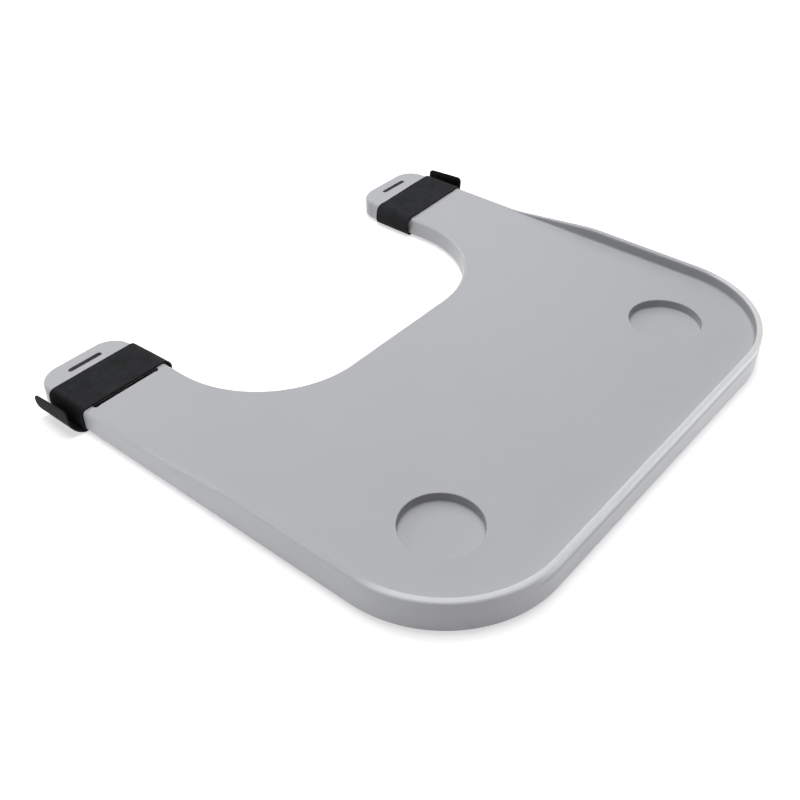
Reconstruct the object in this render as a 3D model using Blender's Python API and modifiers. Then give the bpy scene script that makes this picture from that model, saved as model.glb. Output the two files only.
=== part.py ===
"""Wheelchair tray with two hook-and-loop arm straps.

Metres, +Z up. The straight front edge is at -Y and the two arms run towards +Y. The origin is at
the middle of the whole object's footprint, level with the underside of the straps.

The tray is one plastic moulding with an open underside. Its edge is a loft: the section starts as
a raised, round-topped rim along the front and sides, runs down a long ramp, and ends as a plain
rounded edge round the arms and the waist cut-out. Each strap wraps once round its arm, laps itself
under the arm and ends in a free pull tab that stands up outside the arm.
"""

import math

import bmesh
import bpy
from mathutils import Matrix, Vector

# Tray outline, seen from above
TRAY_WIDTH = 0.582
TRAY_DEPTH = 0.532
DECK_DEPTH = 0.308
FRONT_CORNER_RADIUS = 0.1183
WAIST_RADIUS = 0.1165
ARM_WIDTH = 0.101
ARM_END_RADIUS = 0.026

# Tray walls
SKIRT_HEIGHT = 0.021
SKIRT_WALL = 0.0032
DECK_SKIN = 0.0032
EDGE_RADIUS = 0.0043
FOOT_ROUND = 0.0006

# Raised rim, measured up from the deck
RIM_RISE = 0.0128
RIM_THICKNESS = 0.0063
RIM_FOOT_FILLET = 0.002
BEAD_PROUD = 0.0005
BEAD_START = 0.0045
BEAD_BLEND = 0.0021

# Ramp at the back end of each side rim; its foot is placed from the arm's end
RAMP_SETBACK = 0.158
RAMP_LENGTH = 0.134
RAMP_ROUNDING_SHARE = 0.2

# Cup recesses
CUP_DIAMETER = 0.075
CUP_DEPTH = 0.0095
CUP_SPACING = 0.384
CUP_SETBACK = 0.1037
CUP_LIP_ROUND = 0.001
CUP_FLOOR_FILLET = 0.0025
CUP_WALL = 0.0032

# Slots through each arm, placed from the arm's end
SLOT_WIDTH = 0.004
END_SLOT_LENGTH = 0.0395
END_SLOT_SETBACK = 0.0174
LONG_SLOT_LENGTH = 0.078
LONG_SLOT_SETBACK = 0.081
LONG_SLOT_END_SWELL = 0.0007

# Shallow stiffening ribs under the deck
RIB_THICKNESS = 0.0024
RIB_DEPTH = 0.0035
GUIDE_RIB_INSET = 0.004
RIBS_PER_SIDE = 3
CROSS_RIBS = 4

# Strap webbing, and how it lies on the arm
STRAP_WIDTH = 0.0495
STRAP_THICKNESS = 0.0016
STRAP_TAIL = 0.0585
STRAP_RUN = 0.04
FIT_GAP = 0.0003
TOP_TURN_SHARE = 0.9
LOWER_TURN_SHARE = 1.9

# Free pull tab of a strap
TAB_LEAVE_DEGREES = 20
TAB_BEND_RADIUS = 0.0211
TAB_CORNER_RADIUS = 0.005

# Hook tape on the inner face of a tab
HOOK_THICKNESS = 0.0009
HOOK_INSET = 0.002
HOOK_START = 0.006

# One length that carries a cutter clear past the face it cuts
OVERRUN = 0.005

# How finely each round form is divided
FRONT_CORNER_STEPS = 20
WAIST_STEPS = 20
ARM_END_STEPS = 8
RAMP_STEPS = 14
BULLNOSE_STEPS = 8
BEAD_STEPS = 3
FILLET_STEPS = 3
CUP_STEPS = 40
SLOT_END_STEPS = 8
STRAP_TURN_STEPS = 6
TAB_STEPS = 10
TAB_CORNER_STEPS = 4

# Places worked out from the sizes above
MERGE_DISTANCE = 0.0001
HALF_WIDTH = TRAY_WIDTH / 2
SKIRT_X = HALF_WIDTH - BEAD_PROUD
CUT_OUT_X = HALF_WIDTH - ARM_WIDTH
ARM_X = (SKIRT_X + CUT_OUT_X) / 2
FRONT_Y = BEAD_PROUD - TRAY_DEPTH / 2
ARM_END_Y = TRAY_DEPTH / 2
WAIST_Y = DECK_DEPTH - TRAY_DEPTH / 2
WAIST_CORNER = min(WAIST_RADIUS, TRAY_DEPTH - DECK_DEPTH - STRAP_WIDTH - STRAP_RUN)
RAMP_LOW_Y = TRAY_DEPTH / 2 - RAMP_SETBACK
CUP_Y = CUP_SETBACK - TRAY_DEPTH / 2
LAYER_STEP = STRAP_THICKNESS + FIT_GAP
FOOT_Z = 2 * LAYER_STEP
DECK_Z = FOOT_Z + SKIRT_HEIGHT
SKIN_Z = DECK_Z - DECK_SKIN
STRAP_LAY = FIT_GAP + STRAP_THICKNESS / 2


class StrapFit:
    """How one strap sits on its arm: its side, place, slack, drift and the reach of its tab."""

    def __init__(
        self, name, side, setback, slack_front, slack_rear,
        top_drift, tab_drift, tab_lean, tab_front, tab_rear,
    ):
        self.name = name
        self.side = side
        self.rear_y = ARM_END_Y - setback
        self.slack_front = slack_front
        self.slack_rear = slack_rear
        self.top_drift = top_drift
        self.tab_drift = tab_drift
        self.tab_lean = tab_lean
        self.tab_front = tab_front
        self.tab_rear = tab_rear


LEFT_STRAP = StrapFit(
    name="left",
    side=-1,
    setback=0.0303,
    slack_front=0.0055,
    slack_rear=0.0019,
    top_drift=0,
    tab_drift=0.0014,
    tab_lean=0.0036,
    tab_front=0.0100,
    tab_rear=0.0070,
)
RIGHT_STRAP = StrapFit(
    name="right",
    side=1,
    setback=0.0338,
    slack_front=0.0029,
    slack_rear=0.0029,
    top_drift=-0.0036,
    tab_drift=0.0082,
    tab_lean=0,
    tab_front=0.0083,
    tab_rear=0.0049,
)


def clear_scene():
    """Remove every object of the scene."""
    for old in list(bpy.data.objects):
        bpy.data.objects.remove(old, do_unlink=True)


def new_collection(name):
    """A collection linked to the scene."""
    collection = bpy.data.collections.new(name)
    bpy.context.scene.collection.children.link(collection)
    return collection


def linear_colour(hex_colour):
    """Linear RGBA of an sRGB colour written as six hex digits."""
    channels = []
    for start in (0, 2, 4):
        value = int(hex_colour[start:start + 2], 16) / 255
        channels.append(value / 12.92 if value <= 0.04045 else ((value + 0.055) / 1.055) ** 2.4)
    return (*channels, 1)


def principled(name, hex_colour, roughness):
    """A non-metallic Principled material."""
    material = bpy.data.materials.new(name)
    material.use_nodes = True
    shader = material.node_tree.nodes["Principled BSDF"]
    shader.inputs["Base Color"].default_value = linear_colour(hex_colour)
    shader.inputs["Roughness"].default_value = roughness
    shader.inputs["Metallic"].default_value = 0
    return material


def add_object(name, mesh, collection, material=None):
    """Link a mesh as an object, shaded smooth but for its hard edges."""
    obj = bpy.data.objects.new(name, mesh)
    collection.objects.link(obj)
    if material:
        mesh.materials.append(material)
    mesh.shade_smooth()
    mesh.set_sharp_from_angle(angle=math.radians(35))
    return obj


def as_cutter(obj):
    """Mark an object as a cutter, which isn't part of the model."""
    obj.hide_render = True
    obj.display_type = "WIRE"
    return obj


def cut(obj, cutter):
    """Take a cutter's shape out of an object."""
    modifier = obj.modifiers.new("cut_" + cutter.name, "BOOLEAN")
    modifier.operation = "DIFFERENCE"
    modifier.solver = "EXACT"
    modifier.object = cutter


def arc_points(center, radius, start, end, steps):
    """Points of an arc in a plane, from one angle to another in degrees."""
    points = []
    for step in range(steps + 1):
        angle = math.radians(start + (end - start) * step / steps)
        points.append(center + Vector((math.cos(angle), math.sin(angle))) * radius)
    return points


def arc_stations(center, radius, start, end, steps, toward_center):
    """Outline stations along an arc: each a point, the way into the plastic and the rim's share."""
    sense = 1 if toward_center else -1
    stations = []
    for point in arc_points(center, radius, start, end, steps):
        inward = (center - point).normalized() * sense
        stations.append((point, inward, 0))
    return stations


def ramp_share(y):
    """How much of the rim stands at this place along a side: 1 in front of the ramp, 0 behind it."""
    share = min(max((RAMP_LOW_Y - y) / RAMP_LENGTH, 0), 1)
    rounding = RAMP_ROUNDING_SHARE
    if share < rounding:
        return share ** 2 / (2 * rounding * (1 - rounding))
    if share > 1 - rounding:
        return 1 - (1 - share) ** 2 / (2 * rounding * (1 - rounding))
    return (share - rounding / 2) / (1 - rounding)


def half_outline(ramp_steps):
    """Stations on the skirt's outer face, from the front centre round one arm to the waist's middle."""
    front_center = Vector((SKIRT_X - FRONT_CORNER_RADIUS, FRONT_Y + FRONT_CORNER_RADIUS))
    outer_end_center = Vector((SKIRT_X - ARM_END_RADIUS, ARM_END_Y - ARM_END_RADIUS))
    inner_end_center = Vector((CUT_OUT_X + ARM_END_RADIUS, ARM_END_Y - ARM_END_RADIUS))
    waist_center = Vector((CUT_OUT_X - WAIST_CORNER, WAIST_Y + WAIST_CORNER))
    rimmed = [(Vector((0, FRONT_Y)), Vector((0, 1)), 1)]
    rimmed += arc_stations(front_center, FRONT_CORNER_RADIUS, -90, 0, FRONT_CORNER_STEPS, True)
    for step in range(ramp_steps + 1):
        y = RAMP_LOW_Y - RAMP_LENGTH * (1 - step / max(ramp_steps, 1))
        rimmed.append((Vector((SKIRT_X, y)), Vector((-1, 0)), 0))
    rimmed = [(point, inward, ramp_share(point.y)) for point, inward, _ in rimmed]
    plain = arc_stations(outer_end_center, ARM_END_RADIUS, 0, 90, ARM_END_STEPS, True)
    plain += arc_stations(inner_end_center, ARM_END_RADIUS, 90, 180, ARM_END_STEPS, True)
    plain += arc_stations(waist_center, WAIST_CORNER, 0, -90, WAIST_STEPS, False)
    plain.append((Vector((0, WAIST_Y)), Vector((0, -1)), 0))
    return rimmed + plain


def foot_profile():
    """The skirt's foot, with its small bevel, as (inset, height above the deck) points."""
    return [(FOOT_ROUND, -SKIRT_HEIGHT), (0, FOOT_ROUND - SKIRT_HEIGHT)]


def rim_profile():
    """Section with the full rim: skirt, soft step out to the bead, round top, inner wall, fillet."""
    points = []
    for step in range(BEAD_STEPS + 1):
        share = step / BEAD_STEPS
        swell = (1 - math.cos(math.pi * share)) / 2
        points.append((-BEAD_PROUD * swell, BEAD_START + BEAD_BLEND * share))
    nose = Vector((RIM_THICKNESS / 2 - BEAD_PROUD, RIM_RISE - RIM_THICKNESS / 2))
    for point in arc_points(nose, RIM_THICKNESS / 2, 180, 0, BULLNOSE_STEPS):
        points.append((point.x, point.y))
    fillet = Vector((RIM_THICKNESS - BEAD_PROUD + RIM_FOOT_FILLET, RIM_FOOT_FILLET))
    for point in arc_points(fillet, RIM_FOOT_FILLET, 180, 270, FILLET_STEPS):
        points.append((point.x, point.y))
    return foot_profile() + points


def plain_profile():
    """Section with no rim: skirt, quarter round and deck, with as many points as the rim's section."""
    round_steps = BEAD_STEPS + 1 + BULLNOSE_STEPS // 2
    flat_steps = BULLNOSE_STEPS - BULLNOSE_STEPS // 2 + FILLET_STEPS + 1
    deck_inset = RIM_THICKNESS - BEAD_PROUD + RIM_FOOT_FILLET
    points = []
    for point in arc_points(Vector((EDGE_RADIUS, -EDGE_RADIUS)), EDGE_RADIUS, 180, 90, round_steps):
        points.append((point.x, point.y))
    for step in range(1, flat_steps + 1):
        points.append((EDGE_RADIUS + (deck_inset - EDGE_RADIUS) * step / flat_steps, 0))
    return foot_profile() + points


def tray_half_mesh():
    """Right half of the tray's solid outer form, open at the middle plane, lofted round the outline."""
    plain = plain_profile()
    rimmed = rim_profile()
    bm = bmesh.new()
    rows = []
    for point, inward, rim in half_outline(RAMP_STEPS):
        row = []
        for (plain_inset, plain_height), (rim_inset, rim_height) in zip(plain, rimmed):
            inset = plain_inset + (rim_inset - plain_inset) * rim
            height = plain_height + (rim_height - plain_height) * rim
            place = point + inward * inset
            row.append(bm.verts.new((place.x, place.y, DECK_Z + height)))
        rows.append(row)
    for row, following in zip(rows, rows[1:]):
        for low in range(len(row) - 1):
            bm.faces.new((row[low], following[low], following[low + 1], row[low + 1]))
    bm.faces.new([row[-1] for row in rows])
    bm.faces.new([row[0] for row in reversed(rows)])
    mesh = bpy.data.meshes.new("tray")
    bm.to_mesh(mesh)
    bm.free()
    return mesh


def prism(name, outlines, low, high, collection):
    """Flat outlines extruded between two heights, as one mesh object."""
    curve = bpy.data.curves.new(name + "_outline", "CURVE")
    curve.dimensions = "2D"
    curve.fill_mode = "BOTH"
    curve.extrude = (high - low) / 2
    for outline in outlines:
        spline = curve.splines.new("POLY")
        spline.points.add(len(outline) - 1)
        for point, place in zip(spline.points, outline):
            point.co = (place.x, place.y, 0, 1)
        spline.use_cyclic_u = True
    drawn = bpy.data.objects.new(name + "_outline", curve)
    drawn.location.z = (high + low) / 2
    collection.objects.link(drawn)
    depsgraph = bpy.context.evaluated_depsgraph_get()
    mesh = bpy.data.meshes.new_from_object(drawn.evaluated_get(depsgraph))
    bm = bmesh.new()
    bm.from_mesh(mesh)
    bmesh.ops.remove_doubles(bm, verts=bm.verts, dist=MERGE_DISTANCE)
    bmesh.ops.recalc_face_normals(bm, faces=bm.faces)
    bm.to_mesh(mesh)
    bm.free()
    solid = add_object(name, mesh, collection)
    solid.matrix_world = drawn.matrix_world.copy()
    bpy.data.objects.remove(drawn, do_unlink=True)
    return solid


def boxes(name, corner_pairs, collection):
    """Separate boxes, each between two opposite corners, as one mesh object."""
    bm = bmesh.new()
    for low, high in corner_pairs:
        size = high - low
        place = Matrix.Translation((low + high) / 2) @ Matrix.Diagonal((*size, 1))
        bmesh.ops.create_cube(bm, size=1, matrix=place)
    mesh = bpy.data.meshes.new(name)
    bm.to_mesh(mesh)
    bm.free()
    return add_object(name, mesh, collection)


def turned(name, profile, place, steps, collection):
    """A profile of (radius, height) points turned about a vertical axis."""
    bm = bmesh.new()
    verts = [bm.verts.new((radius, 0, height)) for radius, height in profile]
    for start, end in zip(verts, verts[1:]):
        bm.edges.new((start, end))
    mesh = bpy.data.meshes.new(name)
    bm.to_mesh(mesh)
    bm.free()
    obj = add_object(name, mesh, collection)
    obj.location = place
    screw = obj.modifiers.new("turn", "SCREW")
    screw.axis = "Z"
    screw.steps = steps
    screw.render_steps = steps
    screw.use_merge_vertices = True
    screw.merge_threshold = MERGE_DISTANCE
    return obj


def cavity_cutter(collection):
    """The open underside: the outline drawn in by the skirt's wall, less ribs and cup bosses."""
    half = [point + inward * SKIRT_WALL for point, inward, _ in half_outline(0)]
    mirrored = [Vector((-point.x, point.y)) for point in reversed(half[1:-1])]
    cavity = prism("underside_cavity", [half + mirrored], FOOT_Z - OVERRUN, SKIN_Z, collection)
    for keeper in (long_ribs(collection), cross_ribs(collection), cup_bosses(collection)):
        as_cutter(keeper)
        cut(cavity, keeper)
    return as_cutter(cavity)


def guide_rib_x():
    """Middle of the outermost rib, which guides the inner side of the armrest pad."""
    return CUT_OUT_X - GUIDE_RIB_INSET


def long_ribs(collection):
    """Ribs from the front wall back to the waist, evenly spaced across the deck."""
    pairs = []
    for index in range(-RIBS_PER_SIDE, RIBS_PER_SIDE + 1):
        x = guide_rib_x() * index / RIBS_PER_SIDE
        low = Vector((x - RIB_THICKNESS / 2, FRONT_Y, SKIN_Z - RIB_DEPTH))
        high = Vector((x + RIB_THICKNESS / 2, WAIST_Y + WAIST_CORNER, SKIN_Z + OVERRUN))
        pairs.append((low, high))
    return boxes("long_ribs", pairs, collection)


def cross_ribs(collection):
    """Ribs between the two guide ribs, evenly spaced from the front wall to the waist."""
    pairs = []
    for index in range(1, CROSS_RIBS + 1):
        y = FRONT_Y + (WAIST_Y - FRONT_Y) * index / (CROSS_RIBS + 1)
        low = Vector((-guide_rib_x(), y - RIB_THICKNESS / 2, SKIN_Z - RIB_DEPTH))
        high = Vector((guide_rib_x(), y + RIB_THICKNESS / 2, SKIN_Z + OVERRUN))
        pairs.append((low, high))
    return boxes("cross_ribs", pairs, collection)


def cup_bosses(collection):
    """The plastic left round and under the two cup recesses."""
    bm = bmesh.new()
    low = DECK_Z - CUP_DEPTH - CUP_WALL
    high = SKIN_Z + OVERRUN
    for side in (-1, 1):
        place = Matrix.Translation((side * CUP_SPACING / 2, CUP_Y, (low + high) / 2))
        radius = CUP_DIAMETER / 2 + CUP_WALL
        bmesh.ops.create_cone(
            bm, cap_ends=True, segments=CUP_STEPS, radius1=radius, radius2=radius, depth=high - low,
            matrix=place,
        )
    mesh = bpy.data.meshes.new("cup_bosses")
    bm.to_mesh(mesh)
    bm.free()
    return add_object("cup_bosses", mesh, collection)


def cup_cutter(name, side, collection):
    """One cup recess: rounded lip, straight wall and a fillet round the floor."""
    radius = CUP_DIAMETER / 2
    floor = DECK_Z - CUP_DEPTH
    lip_center = Vector((radius + CUP_LIP_ROUND, DECK_Z - CUP_LIP_ROUND))
    lip = arc_points(lip_center, CUP_LIP_ROUND, 90, 180, FILLET_STEPS)
    fillet_center = Vector((radius - CUP_FLOOR_FILLET, floor + CUP_FLOOR_FILLET))
    fillet = arc_points(fillet_center, CUP_FLOOR_FILLET, 0, -90, FILLET_STEPS)
    profile = [(0, DECK_Z + OVERRUN), (radius + CUP_LIP_ROUND, DECK_Z + OVERRUN)]
    profile += [(point.x, point.y) for point in lip + fillet]
    profile.append((0, floor))
    place = Vector((side * CUP_SPACING / 2, CUP_Y, 0))
    return as_cutter(turned(name, profile, place, CUP_STEPS, collection))


def slot_outline(center, length, end_radius):
    """A slot along X, with round ends that may be a little wider than the slot."""
    half_width = SLOT_WIDTH / 2
    reach = length / 2 - end_radius
    open_angle = math.degrees(math.asin(half_width / end_radius))
    to_end = Vector((reach, 0))
    right = arc_points(center + to_end, end_radius, open_angle - 180, 180 - open_angle, SLOT_END_STEPS)
    left = arc_points(center - to_end, end_radius, open_angle, 360 - open_angle, SLOT_END_STEPS)
    return right + left


def plain_slot_outline(center, length):
    """A slot along X whose ends are half circles."""
    half_width = SLOT_WIDTH / 2
    reach = length / 2 - half_width
    right = arc_points(center + Vector((reach, 0)), half_width, -90, 90, SLOT_END_STEPS)
    left = arc_points(center - Vector((reach, 0)), half_width, 90, 270, SLOT_END_STEPS)
    return right + left


def slot_cutter(collection):
    """The short and the long slot through the skin of both arms."""
    outlines = []
    for side in (-1, 1):
        short_center = Vector((side * ARM_X, ARM_END_Y - END_SLOT_SETBACK))
        long_center = Vector((side * ARM_X, ARM_END_Y - LONG_SLOT_SETBACK))
        outlines.append(plain_slot_outline(short_center, END_SLOT_LENGTH))
        outlines.append(slot_outline(long_center, LONG_SLOT_LENGTH, SLOT_WIDTH / 2 + LONG_SLOT_END_SWELL))
    return as_cutter(prism("arm_slots", outlines, SKIN_Z - OVERRUN, DECK_Z + OVERRUN, collection))


def build_tray(parts, cutters, material):
    """The one-piece moulded tray."""
    tray = add_object("tray", tray_half_mesh(), parts, material)
    mirror = tray.modifiers.new("left_half", "MIRROR")
    mirror.use_axis = (True, False, False)
    mirror.merge_threshold = MERGE_DISTANCE
    cut(tray, cavity_cutter(cutters))
    cut(tray, cup_cutter("cup_recess_left", -1, cutters))
    cut(tray, cup_cutter("cup_recess_right", 1, cutters))
    cut(tray, slot_cutter(cutters))
    return tray


def foot_center():
    """Centre of the skirt foot's outer bevel, in a section across an arm."""
    return Vector((SKIRT_X - FOOT_ROUND, FOOT_Z + FOOT_ROUND))


def wrap_section(slack):
    """Middle line of a strap round its arm, from its tail under the arm to where its tab begins."""
    inner_turn = FOOT_ROUND + STRAP_LAY
    outer_turn = inner_turn + LAYER_STEP
    edge_turn = EDGE_RADIUS + STRAP_LAY
    edge_center = Vector((SKIRT_X - EDGE_RADIUS, DECK_Z - EDGE_RADIUS))
    inner_side = CUT_OUT_X - slack - STRAP_LAY
    top_turn = edge_turn + TOP_TURN_SHARE * slack
    lower_turn = outer_turn + LOWER_TURN_SHARE * slack
    top_center = Vector((inner_side + top_turn, DECK_Z + STRAP_LAY - top_turn))
    lower_center = Vector((inner_side + lower_turn, STRAP_THICKNESS / 2 + lower_turn))
    tab_gap_degrees = math.degrees((STRAP_THICKNESS / 2 + FIT_GAP) / outer_turn)
    last_degrees = TAB_LEAVE_DEGREES - 90 - tab_gap_degrees
    points = [Vector((SKIRT_X - STRAP_TAIL, FOOT_Z - STRAP_LAY))]
    points += arc_points(foot_center(), inner_turn, -90, 0, STRAP_TURN_STEPS)
    points += arc_points(edge_center, edge_turn, 0, 90, STRAP_TURN_STEPS)
    points += arc_points(top_center, top_turn, 90, 180, STRAP_TURN_STEPS)
    points += arc_points(lower_center, lower_turn, 180, 270, STRAP_TURN_STEPS)
    points += arc_points(foot_center(), outer_turn, -90, last_degrees, 1)
    return points


def drifts(fit, points):
    """How far the strap has moved along the arm at each point: none up to its top, then evenly to the tab."""
    start = 1 + 2 * (STRAP_TURN_STEPS + 1)
    lengths = [0]
    for first, second in zip(points[start:], points[start + 1:]):
        lengths.append(lengths[-1] + (second - first).length)
    to_tab = fit.tab_drift - fit.top_drift
    return [0] * start + [fit.top_drift + to_tab * length / lengths[-1] for length in lengths]


def sheet_mesh(name, rows):
    """An open sheet through rows of points, row after row."""
    bm = bmesh.new()
    grid = [[bm.verts.new(point) for point in row] for row in rows]
    for row, following in zip(grid, grid[1:]):
        for index in range(len(row) - 1):
            bm.faces.new((row[index], row[index + 1], following[index + 1], following[index]))
    mesh = bpy.data.meshes.new(name)
    bm.to_mesh(mesh)
    bm.free()
    return mesh


def webbing(name, rows, thickness, origin, parent, collection, material):
    """A sheet given its thickness, with its origin at a chosen place."""
    mesh = sheet_mesh(name, rows)
    mesh.transform(Matrix.Translation(-origin))
    obj = add_object(name, mesh, collection, material)
    obj.parent = parent
    solidify = obj.modifiers.new("thickness", "SOLIDIFY")
    solidify.thickness = thickness
    solidify.offset = 0
    solidify.use_even_offset = True
    return obj


def band_rows(fit):
    """The front and the rear edge of the wrapped part of a strap."""
    rows = []
    for slack, edge_y in ((fit.slack_front, fit.rear_y - STRAP_WIDTH), (fit.slack_rear, fit.rear_y)):
        points = wrap_section(slack)
        row = []
        for point, drift in zip(points, drifts(fit, points)):
            row.append(Vector((fit.side * point.x, edge_y + drift, point.y)))
        rows.append(row)
    return rows


def tab_hinge():
    """Where a tab leaves the arm, in a section across the arm: it bends about this line."""
    turn = FOOT_ROUND + STRAP_LAY + LAYER_STEP
    return arc_points(foot_center(), turn, TAB_LEAVE_DEGREES - 90, 0, 1)[0]


def tab_section(distance, lift):
    """A point of the tab's section, by its distance from the hinge and its lift off the middle line."""
    rise = math.radians(90 - TAB_LEAVE_DEGREES)
    bend_length = TAB_BEND_RADIUS * rise
    leave = math.radians(TAB_LEAVE_DEGREES)
    center = tab_hinge() + Vector((-math.sin(leave), math.cos(leave))) * TAB_BEND_RADIUS
    radius = TAB_BEND_RADIUS - lift
    if distance > bend_length:
        return center + Vector((radius, distance - bend_length))
    angle = distance / TAB_BEND_RADIUS - rise
    return center + Vector((math.cos(angle), math.sin(angle))) * radius


def tab_rows(fit, lift, inset, start):
    """Rows across a tab, front to rear, each ending at the tab's sloping, round-cornered free edge."""
    bend_length = TAB_BEND_RADIUS * math.radians(90 - TAB_LEAVE_DEGREES)
    corner = TAB_CORNER_RADIUS - inset
    width = STRAP_WIDTH - 2 * inset
    corners = []
    for step in range(TAB_CORNER_STEPS + 1):
        angle = math.pi / 2 * step / TAB_CORNER_STEPS
        corners.append((corner * (1 - math.cos(angle)), corner * (1 - math.sin(angle))))
    places = corners + [(width - across, drop) for across, drop in reversed(corners)]
    rows = []
    for across, drop in places:
        share = (across + inset) / STRAP_WIDTH
        reach = bend_length + fit.tab_front + (fit.tab_rear - fit.tab_front) * share - inset - drop
        y = fit.rear_y - STRAP_WIDTH + fit.tab_drift + inset + across
        row = []
        for step in range(TAB_STEPS + 1):
            distance = start + (reach - start) * step / TAB_STEPS
            point = tab_section(distance, lift)
            lean = fit.tab_lean * distance / (bend_length + fit.tab_front)
            row.append(Vector((fit.side * point.x, y + lean, point.y)))
        rows.append(row)
    return rows


def add_pivot(name, place, parent, collection):
    """An empty on a joint's axis, which carries what the joint moves."""
    pivot = bpy.data.objects.new(name, None)
    collection.objects.link(pivot)
    pivot.parent = parent
    pivot.location = place - (parent.location if parent else Vector((0, 0, 0)))
    return pivot


def build_strap(fit, parts, webbing_material, hook_material):
    """One strap: the band that slides along its arm, its tab, and the hook tape on the tab."""
    middle_y = fit.rear_y - STRAP_WIDTH / 2
    slide_place = Vector((fit.side * ARM_X, middle_y, FOOT_Z))
    hinge = tab_hinge()
    hinge_place = Vector((fit.side * hinge.x, middle_y, hinge.y))
    slide = add_pivot("slide_" + fit.name, slide_place, None, parts)
    tab_pivot = add_pivot("tab_hinge_" + fit.name, hinge_place, slide, parts)
    webbing(
        "strap_band_" + fit.name, band_rows(fit), STRAP_THICKNESS, slide_place, slide, parts, webbing_material
    )
    webbing(
        "strap_tab_" + fit.name, tab_rows(fit, 0, 0, 0), STRAP_THICKNESS, hinge_place, tab_pivot, parts,
        webbing_material,
    )
    lift = STRAP_THICKNESS / 2 + FIT_GAP + HOOK_THICKNESS / 2
    webbing(
        "hook_patch_" + fit.name, tab_rows(fit, lift, HOOK_INSET, HOOK_START), HOOK_THICKNESS, hinge_place,
        tab_pivot, parts, hook_material,
    )


def main():
    """Build the tray and its two straps."""
    clear_scene()
    parts = new_collection("wheelchair_tray")
    cutters = new_collection("cutters")
    plastic = principled("light_grey_moulded_plastic", "BEBFC3", 0.42)
    loop_webbing = principled("charcoal_loop_webbing", "38393B", 0.9)
    hook_tape = principled("black_hook_tape", "141415", 0.8)
    build_tray(parts, cutters, plastic)
    for fit in (LEFT_STRAP, RIGHT_STRAP):
        build_strap(fit, parts, loop_webbing, hook_tape)


main()
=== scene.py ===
"""Looks of the wheelchair tray: a light grey moulding and two charcoal hook-and-loop arm straps.

Metres, +Z up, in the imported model's own frame. The tray is lofted round its outline, from a raised
rim to a plain rounded edge. Each strap is one length of webbing that wraps its arm once and ends in a
free pull tab, with a piece of hook tape sewn to the tab's inner face.
"""

import logging
import math
from dataclasses import dataclass
from enum import Enum
from typing import Callable, Optional, Sequence

import bmesh
import bpy
from bpy.types import Material, Node, NodeSocket, NodeTree, Object
from mathutils import Matrix, Vector, noise


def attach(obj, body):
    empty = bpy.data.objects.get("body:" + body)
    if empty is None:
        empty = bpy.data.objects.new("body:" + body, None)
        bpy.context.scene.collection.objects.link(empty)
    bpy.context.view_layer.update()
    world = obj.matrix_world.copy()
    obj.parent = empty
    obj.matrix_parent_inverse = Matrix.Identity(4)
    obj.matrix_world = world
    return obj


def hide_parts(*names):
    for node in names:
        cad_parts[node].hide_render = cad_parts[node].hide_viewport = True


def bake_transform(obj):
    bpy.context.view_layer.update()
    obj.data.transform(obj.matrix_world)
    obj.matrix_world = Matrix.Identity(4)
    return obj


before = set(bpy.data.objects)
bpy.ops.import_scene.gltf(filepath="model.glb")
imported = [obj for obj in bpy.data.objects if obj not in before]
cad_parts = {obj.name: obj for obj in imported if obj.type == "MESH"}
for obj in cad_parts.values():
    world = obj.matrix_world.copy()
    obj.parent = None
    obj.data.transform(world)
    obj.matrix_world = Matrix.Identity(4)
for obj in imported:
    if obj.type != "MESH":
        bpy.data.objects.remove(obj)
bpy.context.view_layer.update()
LOG = logging.getLogger("wheelchair_tray")

MM = 0.001
MERGE = 0.02 * MM
SMOOTH_ANGLE = math.radians(32)
THREAD_ANGLE = math.radians(60)
SHEET_ANGLE = math.radians(50)
SHEET_EDGE_ANGLE = math.radians(60)
STRAP_CHART = "strap_metres"
# Painted highlight (above 0) and painted shade (below 0) at places of the tray
PaintedLight = dict[tuple[float, float, float], float]


class Side(Enum):
    """A side of the tray, as its user sees it from behind."""

    LEFT = -1
    RIGHT = 1


def deselect_all() -> None:
    """Leave edit mode and select nothing."""
    if bpy.context.object and bpy.context.object.mode != "OBJECT":
        bpy.ops.object.mode_set(mode="OBJECT")
    bpy.ops.object.select_all(action="DESELECT")


def pick(obj: Object) -> None:
    """Make one object the only selected and the active one.

    Args:
        obj: the object to work on next.
    """
    deselect_all()
    obj.select_set(True)
    bpy.context.view_layer.objects.active = obj


def new_piece(name: str, scale: Sequence[float] = (1, 1, 1)) -> Object:
    """Name the primitive that was just added, size it, and leave it at the origin, unturned.

    Args:
        name: the object's name.
        scale: its scale along each axis.

    Returns:
        The object.
    """
    obj = bpy.context.object
    obj.name = name
    obj.data.name = name
    obj.scale = scale
    bpy.ops.object.transform_apply(location=True, rotation=True, scale=True)
    return obj


def edit_all() -> None:
    """Open the active object in edit mode with everything selected."""
    bpy.ops.object.mode_set(mode="EDIT")
    bpy.ops.mesh.select_all(action="SELECT")


def apply_modifier(obj: Object, kind: str, **settings: object) -> None:
    """Add a modifier to an object, set it and apply it.

    Args:
        obj: the object to change.
        kind: the modifier's type.
        settings: the modifier's own values.
    """
    pick(obj)
    modifier = obj.modifiers.new(kind.lower(), kind)
    for key, value in settings.items():
        setattr(modifier, key, value)
    bpy.ops.object.modifier_apply(modifier=modifier.name)


def cut(obj: Object, cutter: Object) -> None:
    """Take a cutter's shape out of an object and remove the cutter.

    Args:
        obj: the object that is cut.
        cutter: the shape to take away.
    """
    apply_modifier(obj, "BOOLEAN", operation="DIFFERENCE", solver="EXACT", object=cutter)
    bpy.data.objects.remove(cutter, do_unlink=True)


def joined(objects: Sequence[Object]) -> Object:
    """Join several objects into the first.

    Args:
        objects: the objects to join.

    Returns:
        The joined object.
    """
    deselect_all()
    for obj in objects:
        obj.select_set(True)
    bpy.context.view_layer.objects.active = objects[0]
    bpy.ops.object.join()
    return bpy.context.object


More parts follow.
